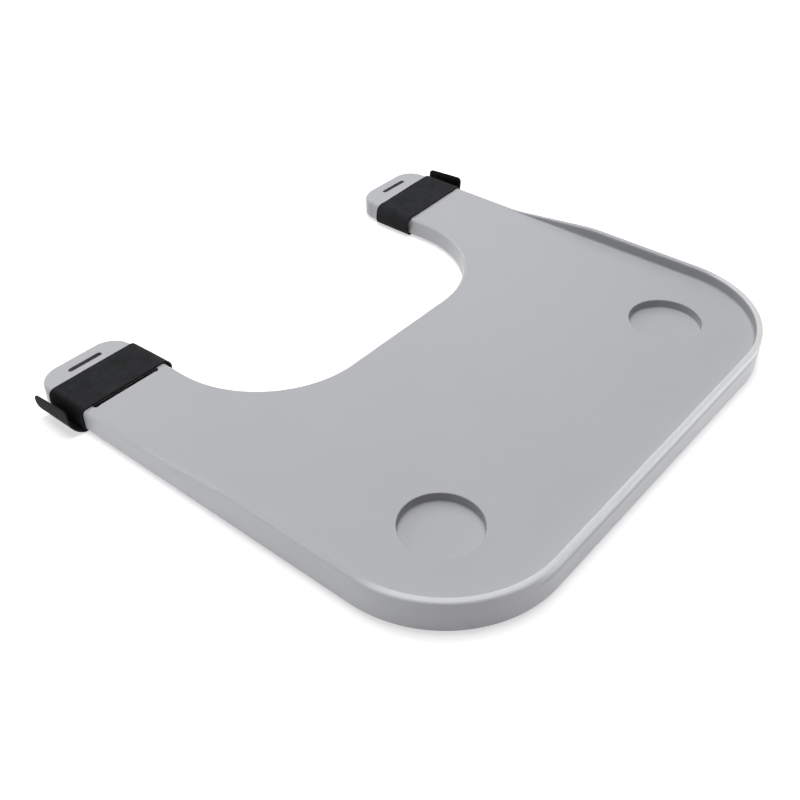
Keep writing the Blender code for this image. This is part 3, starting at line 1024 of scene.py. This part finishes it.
    def cup_boss(self, side: Side) -> Object:
        """The plastic left round and under a cup recess.

        Args:
            side: the recess's side.

        Returns:
            The boss.
        """
        low = self.deck_z - self.cup_depth - self.wall
        high = self.skin_z + self.overrun
        deselect_all()
        bpy.ops.mesh.primitive_cylinder_add(
            vertices=self.cup_steps, radius=self.cup_radius + self.wall, depth=high - low,
            location=(side.value * self.cup_x, self.cup_y, (low + high) / 2),
        )
        return round_bottom(new_piece("cup_boss"), low, self.roof_fillet, self.boss_round_steps)

    def cup_cutter(self, side: Side) -> Object:
        """A cup recess as a cutter: a disc lofted down past a round lip, straight wall and floor fillet.

        Args:
            side: the recess's side.

        Returns:
            The cutter.
        """
        wide = self.cup_radius + self.cup_lip
        lip = Vector((wide, self.deck_z - self.cup_lip))
        foot = Vector((self.cup_radius - self.cup_fillet, self.deck_z - self.cup_depth + self.cup_fillet))
        profile = [
            Vector((wide, self.deck_z + self.overrun)), *arc(lip, self.cup_lip, 90, 180, self.fillet_steps),
            *arc(foot, self.cup_fillet, 0, -90, self.cup_floor_steps),
        ]
        center = Vector((side.value * self.cup_x, self.cup_y))
        ways = arc(Vector((0, 0)), 1, 0, 360, self.cup_steps)[1:]
        return ring_cutter("cup_cutter", [Station(center, way) for way in ways], profile)

    def slot_cutter(self, side: Side, setback: float, length: float, swell: float) -> Object:
        """A slot through an arm as a cutter, with round ends, a soft upper edge and a flared lower one.

        Args:
            side: the arm's side.
            setback: the slot's distance from the arm's end.
            length: the slot's length across the arm.
            swell: how much wider than the slot its round ends are, on the radius.

        Returns:
            The cutter.
        """
        radius = self.slot_width / 2 + swell
        reach = Vector((length / 2 - radius, 0))
        neck = math.degrees(math.asin(self.slot_width / 2 / radius))
        outline = arc(reach, radius, neck - 180, 180 - neck, self.slot_end_steps)
        outline += arc(-reach, radius, neck, 360 - neck, self.slot_end_steps)
        center = Vector((side.value * self.arm_x, self.arm_end_y - setback))
        around = []
        for before, point, after in zip([outline[-1], *outline], outline, [*outline[1:], outline[0]]):
            along = after - before
            around.append(Station(center + point, Vector((along.y, -along.x)).normalized()))
        lip, flare = self.slot_lip, self.slot_flare
        profile = [(flare, self.skin_z - self.overrun)]
        for turn in quarter_turns(self.flare_steps):
            profile.append((flare * (1 - math.sin(turn)), self.skin_z + flare * (1 - math.cos(turn))))
        for turn in quarter_turns(self.lip_steps):
            profile.append((lip * (1 - math.cos(turn)), self.deck_z - lip + lip * math.sin(turn)))
        return ring_cutter("slot_cutter", around, [*profile, (lip, self.deck_z + self.overrun)])

    def build(self, plastic: Material) -> Object:
        """Model the whole moulding, with flat normals up to the edges of its flat faces, and dress it.

        Args:
            plastic: its material.

        Returns:
            The finished tray.
        """
        tray, painted_marks = self.outer_form()
        cut(tray, self.cavity())
        for side in Side:
            cut(tray, self.cup_cutter(side))
            cut(tray, self.slot_cutter(side, self.end_slot_setback, self.end_slot_length, 0))
            cut(tray, self.slot_cutter(
                side, self.long_slot_setback, self.long_slot_length, self.long_slot_swell
            ))
        self.mark_painted_light(tray, painted_marks)
        pick(tray)
        bpy.ops.object.shade_smooth_by_angle(angle=SMOOTH_ANGLE)
        apply_modifier(tray, "WEIGHTED_NORMAL", mode="FACE_AREA", keep_sharp=True)
        tray.data.materials.append(plastic)
        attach(tray, "tray")
        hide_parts("tray")
        return tray


@dataclass
class TapeStitching:
    """The thread that sews a hook tape to its tab: one stitch, modelled once and copied round the tape."""

    thread: float = 0.35 * MM
    length: float = 2.6 * MM
    pitch: float = 3 * MM
    edge_distance: float = 1.5 * MM
    lift: float = 0.25
    dip_power: float = 3
    sides: int = 8
    cuts: int = 5

    def one_stitch(self) -> Object:
        """Model one stitch along X: a short thread whose two ends dip into the cloth.

        Returns:
            The stitch, at the origin.
        """
        deselect_all()
        bpy.ops.mesh.primitive_cylinder_add(
            vertices=self.sides, radius=self.thread / 2, depth=self.length, rotation=(0, math.pi / 2, 0)
        )
        stitch = new_piece("stitch")
        for number in range(1, self.cuts + 1):
            edit_all()
            x = self.length * (number / (self.cuts + 1) - 0.5)
            bpy.ops.mesh.bisect(plane_co=(x, 0, 0), plane_no=(1, 0, 0))
        bm = bmesh.from_edit_mesh(stitch.data)
        for vert in bm.verts:
            vert.co.z += self.thread * (self.lift - abs(2 * vert.co.x / self.length) ** self.dip_power)
        bmesh.update_edit_mesh(stitch.data)
        bpy.ops.object.mode_set(mode="OBJECT")
        bpy.ops.object.shade_smooth_by_angle(angle=THREAD_ANGLE)
        return stitch

    def rows(self, corners: Sequence[Vector]) -> list[tuple[Vector, Vector]]:
        """Share stitches out along the sides of a closed seam.

        Args:
            corners: the seam's corners, flat, as (distance along, distance across).

        Returns:
            The two flat ends of each stitch.
        """
        found = []
        for one, two in zip(corners, [*corners[1:], corners[0]]):
            way = two - one
            count = max(1, round(way.length / self.pitch))
            half = way.normalized() * (self.length / 2)
            for number in range(count):
                middle = one + way * ((number + 0.5) / count)
                found.append((middle - half, middle + half))
        return found

    def build(self, name: str, stitches: Sequence[tuple[Vector, Vector, Vector]]) -> Object:
        """Copy the stitch to every place and join the copies.

        Args:
            name: the piece's name.
            stitches: each stitch's two ends and the way out of the cloth there.

        Returns:
            The finished seam.
        """
        stitch = self.one_stitch()
        copies = []
        for start, end, face in stitches:
            along = (end - start).normalized()
            side = face.cross(along).normalized()
            turn = Matrix((along, side, along.cross(side))).transposed().to_4x4()
            copy = bpy.data.objects.new(name, stitch.data.copy())
            bpy.context.scene.collection.objects.link(copy)
            copy.data.transform(Matrix.Translation((start + end) / 2) @ turn)
            copies.append(copy)
        bpy.data.objects.remove(stitch, do_unlink=True)
        joined(copies)
        return new_piece(name)


class Stretch(Enum):
    """A stretch of a strap's way round its arm, from its tail on."""

    TAIL = 0
    OUTER_SIDE = 1
    TOP = 2
    INNER_SIDE = 3
    LAP = 4


@dataclass
class ArmStrap:
    """One strap: webbing that laps itself under the arm, wraps it once and ends in a free pull tab."""

    side: Side
    rear_y: float
    slack_front: float
    slack_rear: float
    top_drift: float
    tab_drift: float
    tab_lean: float
    tab_front: float
    tab_rear: float
    bulge_front: float
    bulge_rear: float
    ripple: float
    width: float = 49.5 * MM
    thickness: float = 1.6 * MM
    tail: float = 58.5 * MM
    fit_gap: float = 0.3 * MM
    top_turn_share: float = 0.9
    lower_turn_share: float = 1.9
    leave_degrees: float = 20
    bend_radius: float = 21.1 * MM
    corner_radius: float = 5 * MM
    hook_thickness: float = 0.9 * MM
    hook_inset: float = 2 * MM
    hook_start: float = 6 * MM
    bend_before: float = 0.3 * MM
    bend_after: float = 5.4 * MM
    seam_x: float = 281 * MM
    seam_gap: float = 0.1 * MM
    ripple_size: float = 16 * MM
    ripple_stretch: float = 0.6
    ripple_seed: float = 7.3
    ripple_fade: float = 12
    skirt_x: float = 290.5 * MM
    cut_out_x: float = 190 * MM
    foot_z: float = 3.8 * MM
    deck_z: float = 24.8 * MM
    edge_radius: float = 4.3 * MM
    foot_round: float = 0.6 * MM
    selvage: float = 0.45 * MM
    selvage_share: float = 0.4
    selvage_steps: int = 3
    tail_steps: int = 12
    turn_steps: int = 14
    side_steps: int = 6
    top_steps: int = 30
    lap_steps: int = 16
    lead_steps: int = 5
    lead_turn_steps: int = 3
    tab_steps: int = 26
    corner_steps: int = 7
    across_steps: int = 10

    @property
    def lay(self) -> float:
        """Distance from what the strap lies on to its middle line."""
        return self.fit_gap + self.thickness / 2

    @property
    def lap_turn(self) -> float:
        """Radius of the outer layer's turn round the skirt's foot."""
        return self.foot_round + self.lay + self.thickness + self.fit_gap

    @property
    def foot(self) -> Vector:
        """Centre of the skirt foot's outer round, in a section across the arm."""
        return Vector((self.skirt_x - self.foot_round, self.foot_z + self.foot_round))

    @property
    def hinge(self) -> Vector:
        """Where the tab leaves the arm, in a section across the arm."""
        return arc(self.foot, self.lap_turn, self.leave_degrees - 90, 0, 1)[0]

    @property
    def bend_length(self) -> float:
        """Length of the tab's bend."""
        return self.bend_radius * math.radians(90 - self.leave_degrees)

    def wrap(self, slack: float) -> list[tuple[Vector, Stretch]]:
        """Middle line of the wrapped part in a section across the arm.

        Args:
            slack: how far the strap stands off the arm's inner side.

        Returns:
            Points from the tail to the seam of the tab, each with the stretch that it lies on.
        """
        edge_turn = self.edge_radius + self.lay
        inner_side = self.cut_out_x - slack - self.lay
        top_turn = edge_turn + self.top_turn_share * slack
        lower_turn = self.lap_turn + self.lower_turn_share * slack
        edge = Vector((self.skirt_x - self.edge_radius, self.deck_z - self.edge_radius))
        top = Vector((inner_side + top_turn, self.deck_z + self.lay - top_turn))
        lower = Vector((inner_side + lower_turn, self.thickness / 2 + lower_turn))
        tail = Vector((self.skirt_x - self.tail, self.foot_z - self.lay))
        seam = Vector((self.seam_x - self.seam_gap, self.thickness / 2))
        foot = arc(self.foot, self.foot_round + self.lay, -90, 0, self.turn_steps)
        shoulder = arc(edge, edge_turn, 0, 90, self.turn_steps)
        inner = arc(top, top_turn, 90, 180, self.turn_steps)
        under = arc(lower, lower_turn, 180, 270, self.turn_steps)
        stretches = (
            [tail, *between(tail, foot[0], self.tail_steps)],
            [*foot, *between(foot[-1], shoulder[0], self.side_steps), *shoulder],
            between(shoulder[-1], inner[0], self.top_steps),
            [*inner, *between(inner[-1], under[0], self.side_steps), *under],
            [*between(under[-1], seam, self.lap_steps), seam],
        )
        return [(point, stretch) for stretch, points in zip(Stretch, stretches) for point in points]

    def across_places(self, inset: float) -> list[tuple[float, float]]:
        """Places across the strap, close together where the tab's corners are round.

        Args:
            inset: how far inside the strap's own edge the piece's edge lies.

        Returns:
            For each place its distance from the piece's front edge and how much the free end drops.
        """
        corner = self.corner_radius - inset
        width = self.width - 2 * inset
        turns = quarter_turns(self.corner_steps)
        ends = [(corner * (1 - math.cos(turn)), corner * (1 - math.sin(turn))) for turn in turns]
        straight = (width - 2 * corner) / self.across_steps
        middle = [(corner + straight * step, 0.0) for step in range(1, self.across_steps)]
        return ends + middle + [(width - place, drop) for place, drop in reversed(ends)]

    def reach(self, across: float, inset: float, drop: float) -> float:
        """Length of the tab at a place across it.

        Args:
            across: distance from the piece's front edge.
            inset: how far inside the strap's edge the piece's edge lies.
            drop: how much the round corner takes off there.

        Returns:
            The distance from the hinge to the free end.
        """
        share = (across + inset) / self.width
        return self.bend_length + self.tab_front + (self.tab_rear - self.tab_front) * share - inset - drop

    def tab_place(self, distance: float, lift: float, across: float, inset: float) -> Vector:
        """A point of the tab in space.

        Args:
            distance: how far along the tab it lies, from the hinge.
            lift: how far it lies off the middle line, towards the arm.
            across: distance from the piece's front edge.
            inset: how far inside the strap's edge the piece's edge lies.

        Returns:
            The point.
        """
        leave = math.radians(self.leave_degrees)
        center = self.hinge + Vector((-math.sin(leave), math.cos(leave))) * self.bend_radius
        radius = self.bend_radius - lift
        angle = (min(distance, self.bend_length) - self.bend_length) / self.bend_radius
        past_bend = max(distance - self.bend_length, 0.0)
        at = center + Vector((math.cos(angle), math.sin(angle))) * radius + Vector((0, past_bend))
        lean = self.tab_lean * distance / (self.bend_length + self.tab_front)
        y = self.rear_y - self.width + self.tab_drift + inset + across + lean
        return Vector((self.side.value * at.x, y, at.y))

    def drift_at_seam(self, wrapped: float) -> float:
        """Shift along the arm at the tab's seam, this far along the strap from the top's inner turn."""
        lead = self.foot.x - self.seam_x + self.lap_turn * math.radians(self.leave_degrees)
        return self.top_drift + (self.tab_drift - self.top_drift) * wrapped / (wrapped + lead)

    def stand_off(self, shares: dict[Stretch, float], walked: float, across: float) -> float:
        """How far the worn webbing stands off its tight line, always away from the arm.

        Args:
            shares: how much of each stretch lies behind the point.
            walked: the point's distance from the tail.
            across: the point's distance from the strap's front edge.

        Returns:
            The distance.
        """
        bulge = self.bulge_front + (self.bulge_rear - self.bulge_front) * across / self.width
        over = (shares[Stretch.TOP] + shares[Stretch.INNER_SIDE]) / 2
        fade = eased(self.ripple_fade * over) * eased(self.ripple_fade * (1 - over))
        wave = noise.noise(Vector((
            walked / self.ripple_size, self.ripple_stretch * across / self.ripple_size,
            self.ripple_seed * self.side.value,
        )))
        belly = math.sin(math.pi * shares[Stretch.OUTER_SIDE]) ** 2
        return bulge * belly + self.ripple * fade * (1 + wave) / 2

    def band_lines(self) -> list[list[Vector]]:
        """Lines across the wrapped part, from its tail under the arm to the tab's seam.

        Returns:
            One list of points for each line, front to rear.
        """
        front = self.wrap(self.slack_front)
        rear = self.wrap(self.slack_rear)
        walked = running_length([point for point, _ in front])
        spans = {}
        for stretch in Stretch:
            inside = [length for length, (_, at) in zip(walked, front) if at is stretch]
            spans[stretch] = (inside[0], inside[-1])
        top_end = spans[Stretch.TOP][1]
        wrapped = walked[-1] - top_end
        at_seam = self.drift_at_seam(wrapped)
        lines = []
        for index, ((near, _), (far, _)) in enumerate(zip(front, rear)):
            shares = {
                at: held((walked[index] - first) / (last - first)) for at, (first, last) in spans.items()
            }
            after = max(walked[index] - top_end, 0.0) / wrapped
            drift = self.top_drift * shares[Stretch.TOP] + (at_seam - self.top_drift) * after
            way = front[min(index + 1, len(front) - 1)][0] - front[max(index - 1, 0)][0]
            outward = Vector((way.y, -way.x)).normalized()
            line = []
            for across, _ in self.across_places(0):
                off = self.stand_off(shares, walked[index], across)
                at = near.lerp(far, across / self.width) + outward * off
                line.append(Vector((self.side.value * at.x, self.rear_y - self.width + across + drift, at.y)))
            lines.append(line)
        return lines

    def tab_lines(self) -> list[list[Vector]]:
        """Lines across the pull tab, from its seam under the arm to its free end.

        Returns:
            One list of points for each line, front to rear.
        """
        seam = Vector((self.seam_x + self.seam_gap, self.thickness / 2))
        turn = arc(self.foot, self.lap_turn, -90, self.leave_degrees - 90, self.lead_turn_steps)
        lead = [seam, *between(seam, turn[0], self.lead_steps), *turn]
        walked = running_length(lead)
        past_top = (Stretch.INNER_SIDE, Stretch.LAP)
        wrapped = running_length([point for point, at in self.wrap(self.slack_front) if at in past_top])[-1]
        at_seam = self.drift_at_seam(wrapped)
        lines = []
        for at, length in zip(lead, walked):
            drift = at_seam + (self.tab_drift - at_seam) * length / walked[-1]
            start_y = self.rear_y - self.width + drift
            places = self.across_places(0)
            lines.append([Vector((self.side.value * at.x, start_y + across, at.y)) for across, _ in places])
        return lines + self.free_lines(0, 0, 0)[1:]

    def free_lines(self, start: float, lift: float, inset: float) -> list[list[Vector]]:
        """Lines across the free part of the tab, or across the tape on it, out to the free end.

        Args:
            start: the first line's distance from the hinge.
            lift: how far they lie off the tab's middle line, towards the arm.
            inset: how far inside the tab's edge they end.

        Returns:
            One list of points for each line, front to rear.
        """
        lines = []
        for step in range(self.tab_steps + 1):
            line = []
            for across, drop in self.across_places(inset):
                distance = start + (self.reach(across, inset, drop) - start) * step / self.tab_steps
                line.append(self.tab_place(distance, lift, across, inset))
            lines.append(line)
        return lines

    def sheet(self, name: str, lines: Sequence[Sequence[Vector]], thickness: float) -> Object:
        """A grid laid through lines of points, given its thickness, with rounded edges.

        Args:
            name: the piece's name.
            lines: the lines of points.
            thickness: the sheet's thickness.

        Returns:
            The sheet, with a UV map in metres.
        """
        columns = len(lines[0])
        deselect_all()
        bpy.ops.mesh.primitive_grid_add(x_subdivisions=columns - 1, y_subdivisions=len(lines) - 1, size=1)
        sheet = new_piece(name)
        order = sorted(sheet.data.vertices, key=lambda vert: (round(vert.co.y, 6), round(vert.co.x, 6)))
        along = running_length([line[columns // 2] for line in lines])
        chart = {}
        for number, vert in enumerate(order):
            line, column = divmod(number, columns)
            vert.co = lines[line][column]
            chart[vert.index] = (along[line], (lines[line][column] - lines[line][0]).length)
        layer = sheet.data.uv_layers.active
        layer.name = STRAP_CHART
        for loop in sheet.data.loops:
            layer.data[loop.index].uv = chart[loop.vertex_index]
        apply_modifier(sheet, "SOLIDIFY", thickness=thickness, offset=0, use_even_offset=True)
        edit_all()
        bpy.ops.mesh.normals_make_consistent(inside=False)
        bpy.ops.object.mode_set(mode="OBJECT")
        apply_modifier(
            sheet, "BEVEL", width=min(self.selvage, thickness * self.selvage_share),
            segments=self.selvage_steps, limit_method="ANGLE", angle_limit=SHEET_EDGE_ANGLE,
        )
        bpy.ops.object.shade_smooth_by_angle(angle=SHEET_ANGLE)
        return sheet

    def sew(self, stitching: TapeStitching) -> Object:
        """Sew the hook tape on: stitches round its border, seen on both sides of the tab.

        Args:
            stitching: the kind of stitch.

        Returns:
            The finished seam.
        """
        edge = stitching.edge_distance
        far = self.width - 2 * self.hook_inset - edge
        start = self.hook_start + edge
        corners = (
            Vector((start, edge)), Vector((start, far)),
            Vector((self.reach(far, self.hook_inset, 0) - edge, far)),
            Vector((self.reach(edge, self.hook_inset, 0) - edge, edge)),
        )
        inner_lift = self.thickness / 2 + self.fit_gap + self.hook_thickness
        stitches = []
        for lift, way in ((inner_lift, 1), (-self.thickness / 2, -1)):
            for ends in stitching.rows(corners):
                one, two = (self.tab_place(at.x, lift, at.y, self.hook_inset) for at in ends)
                above = self.tab_place(ends[0].x, lift + way * MM, ends[0].y, self.hook_inset)
                stitches.append((one, two, (above - one).normalized()))
        return stitching.build(f"tape_stitches_{self.side.name.lower()}", stitches)

    def build(self, webbing: Material, hook: Material, thread: Material) -> tuple[Object, ...]:
        """Model and dress the strap's pieces, and attach the band to the strap's body and the hook tape and
        stitches to the tab's body.

        Args:
            webbing: the material of the band and the tab.
            hook: the material of the hook tape.
            thread: the material of the stitches.

        Returns:
            The band, the pull tab, the hook tape and the stitches.
        """
        word = self.side.name.lower()
        band = self.sheet(f"loop_strap_{word}", self.band_lines(), self.thickness)
        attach(band, f"strap_{word}")
        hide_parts(f"strap_band_{word}")
        tab = self.sheet(f"pull_tab_{word}", self.tab_lines(), self.thickness)
        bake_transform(tab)
        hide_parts(f"strap_tab_{word}")
        hook_lift = self.thickness / 2 + self.fit_gap + self.hook_thickness / 2
        hook_lines = self.free_lines(self.hook_start, hook_lift, self.hook_inset)
        tape = self.sheet(f"hook_tape_{word}", hook_lines, self.hook_thickness)
        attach(tape, f"tab_{word}")
        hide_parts(f"hook_patch_{word}")
        seam = self.sew(TapeStitching())
        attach(seam, f"tab_{word}")
        for piece, material in ((band, webbing), (tab, webbing), (tape, hook), (seam, thread)):
            piece.data.materials.append(material)
        return band, tab, tape, seam


@dataclass(frozen=True)
class Softbox:
    """One softbox: where it hangs, what it faces, its two sides and its power in watts."""

    name: str
    place: tuple[float, float, float]
    target: tuple[float, float, float]
    width: float
    height: float
    power: float

    def build(self) -> None:
        """Hang the softbox, out of the camera's sight."""
        light = bpy.data.lights.new(self.name, "AREA")
        light.shape = "RECTANGLE"
        light.size = self.width
        light.size_y = self.height
        light.energy = self.power
        lamp = bpy.data.objects.new(self.name, light)
        bpy.context.scene.collection.objects.link(lamp)
        lamp.location = self.place
        facing = Vector(self.target) - Vector(self.place)
        lamp.rotation_euler = facing.to_track_quat("-Z", "Y").to_euler()
        lamp.visible_camera = False


@dataclass
class Studio:
    """A white sweep, soft lamps and the camera at the photograph's angle.

    Most of the light comes from above and behind, so recesses that face the camera go dark. Low
    strips in front and at the left lift only the outer walls, because the deck shades its own rim.
    """

    camera_place: tuple[float, float, float] = (-0.67499, -0.51724, 0.64371)
    looks_at: tuple[float, float, float] = (-0.08775, -0.03213, 0.0248)
    roll_degrees: float = -0.11
    lens: float = 46.50
    clip_start: float = 0.01
    floor_size: float = 8.0
    floor_drop: float = 0.4 * MM
    air_light: float = 0.015
    softboxes: tuple[Softbox, ...] = (
        Softbox("top_softbox", (0.0, 0.0, 2.2), (0.0, 0.0, 0.0), 1.2, 1.2, 24.4),
        Softbox("top_back_softbox", (0.5, 0.45, 2.0), (0.0, 0.0, 0.0), 1.4, 1.4, 9.6),
        Softbox("back_left_softbox", (0.1, 1.9, 1.2), (0.0, 0.0, 0.0), 1.4, 1.0, 10.2),
        Softbox("back_softbox", (1.3, 1.0, 1.45), (0.0, 0.0, 0.0), 1.4, 1.4, 4.0),
        Softbox("low_left_softbox", (-1.98, 0.8, 0.53), (0.0, 0.0, 0.0), 0.9, 0.9, 2.6),
        Softbox("left_strip", (-0.85, 0.2, 0.012), (0.0, 0.1, 0.012), 1.2, 0.02, 1.8),
        Softbox("front_strip", (0.33, -0.85, 0.012), (0.2, 0.0, 0.012), 0.9, 0.02, 2.8),
    )

    def build(self) -> None:
        """Set up the floor, the air, the lamps, the view and the camera."""
        deselect_all()
        bpy.ops.mesh.primitive_plane_add(size=self.floor_size, location=(0, 0, -self.floor_drop))
        floor = bpy.context.object
        floor.name = "studio_floor"
        floor.data.materials.append(PaperSweep().build())
        self.air()
        for softbox in self.softboxes:
            softbox.build()
        self.camera()
        bpy.context.scene.view_settings.view_transform = "Standard"

    def air(self) -> None:
        """White air behind the object that hardly lights it."""
        world = bpy.data.worlds.new("studio_air")
        bpy.context.scene.world = world
        world.use_nodes = True
        tree = world.node_tree
        tree.nodes.clear()
        seen = {"Factor": shows_background(tree), "A": self.air_light, "B": 1.0}
        strength = add_node(tree, "Mix", seen, data_type="FLOAT")
        sky = add_node(tree, "Background", {"Color": (1, 1, 1, 1), "Strength": strength})
        add_node(tree, "OutputWorld", {"Surface": sky})

    def camera(self) -> None:
        """Place the camera at the photograph's viewing angle."""
        data = bpy.data.cameras.new("camera")
        data.lens = self.lens
        data.clip_start = self.clip_start
        camera = bpy.data.objects.new("camera", data)
        bpy.context.scene.collection.objects.link(camera)
        facing = Vector(self.looks_at) - Vector(self.camera_place)
        aim = facing.to_track_quat("-Z", "Y").to_matrix()
        roll = Matrix.Rotation(math.radians(self.roll_degrees), 3, "Z")
        camera.matrix_world = Matrix.Translation(self.camera_place) @ (aim @ roll).to_4x4()
        bpy.context.scene.camera = camera


LEFT_STRAP = ArmStrap(
    side=Side.LEFT, rear_y=235.7 * MM, slack_front=5.5 * MM, slack_rear=1.9 * MM, top_drift=0.0,
    tab_drift=1.4 * MM, tab_lean=3.6 * MM, tab_front=10 * MM, tab_rear=7 * MM,
    bulge_front=0.3 * MM, bulge_rear=1.3 * MM, ripple=0.3 * MM,
)
RIGHT_STRAP = ArmStrap(
    side=Side.RIGHT, rear_y=232.2 * MM, slack_front=2.9 * MM, slack_rear=2.9 * MM, top_drift=-3.6 * MM,
    tab_drift=8.2 * MM, tab_lean=0.0, tab_front=8.3 * MM, tab_rear=4.9 * MM,
    bulge_front=0.3 * MM, bulge_rear=0.3 * MM, ripple=0.6 * MM,
)


def main() -> None:
    """Build the tray, its straps and the studio, in that order."""
    logging.basicConfig(level=logging.INFO, format="%(name)s: %(message)s")
    pieces = [MouldedTray().build(MouldedPlastic().build())]
    webbing = LoopWebbing().build()
    hook = HookNylon().build()
    thread = SewingThread().build()
    for strap in (LEFT_STRAP, RIGHT_STRAP):
        pieces += strap.build(webbing, hook, thread)
    for piece in pieces:
        LOG.info("%s: %d faces", piece.name, len(piece.data.polygons))
    Studio().build()


if __name__ == "__main__":
    main()
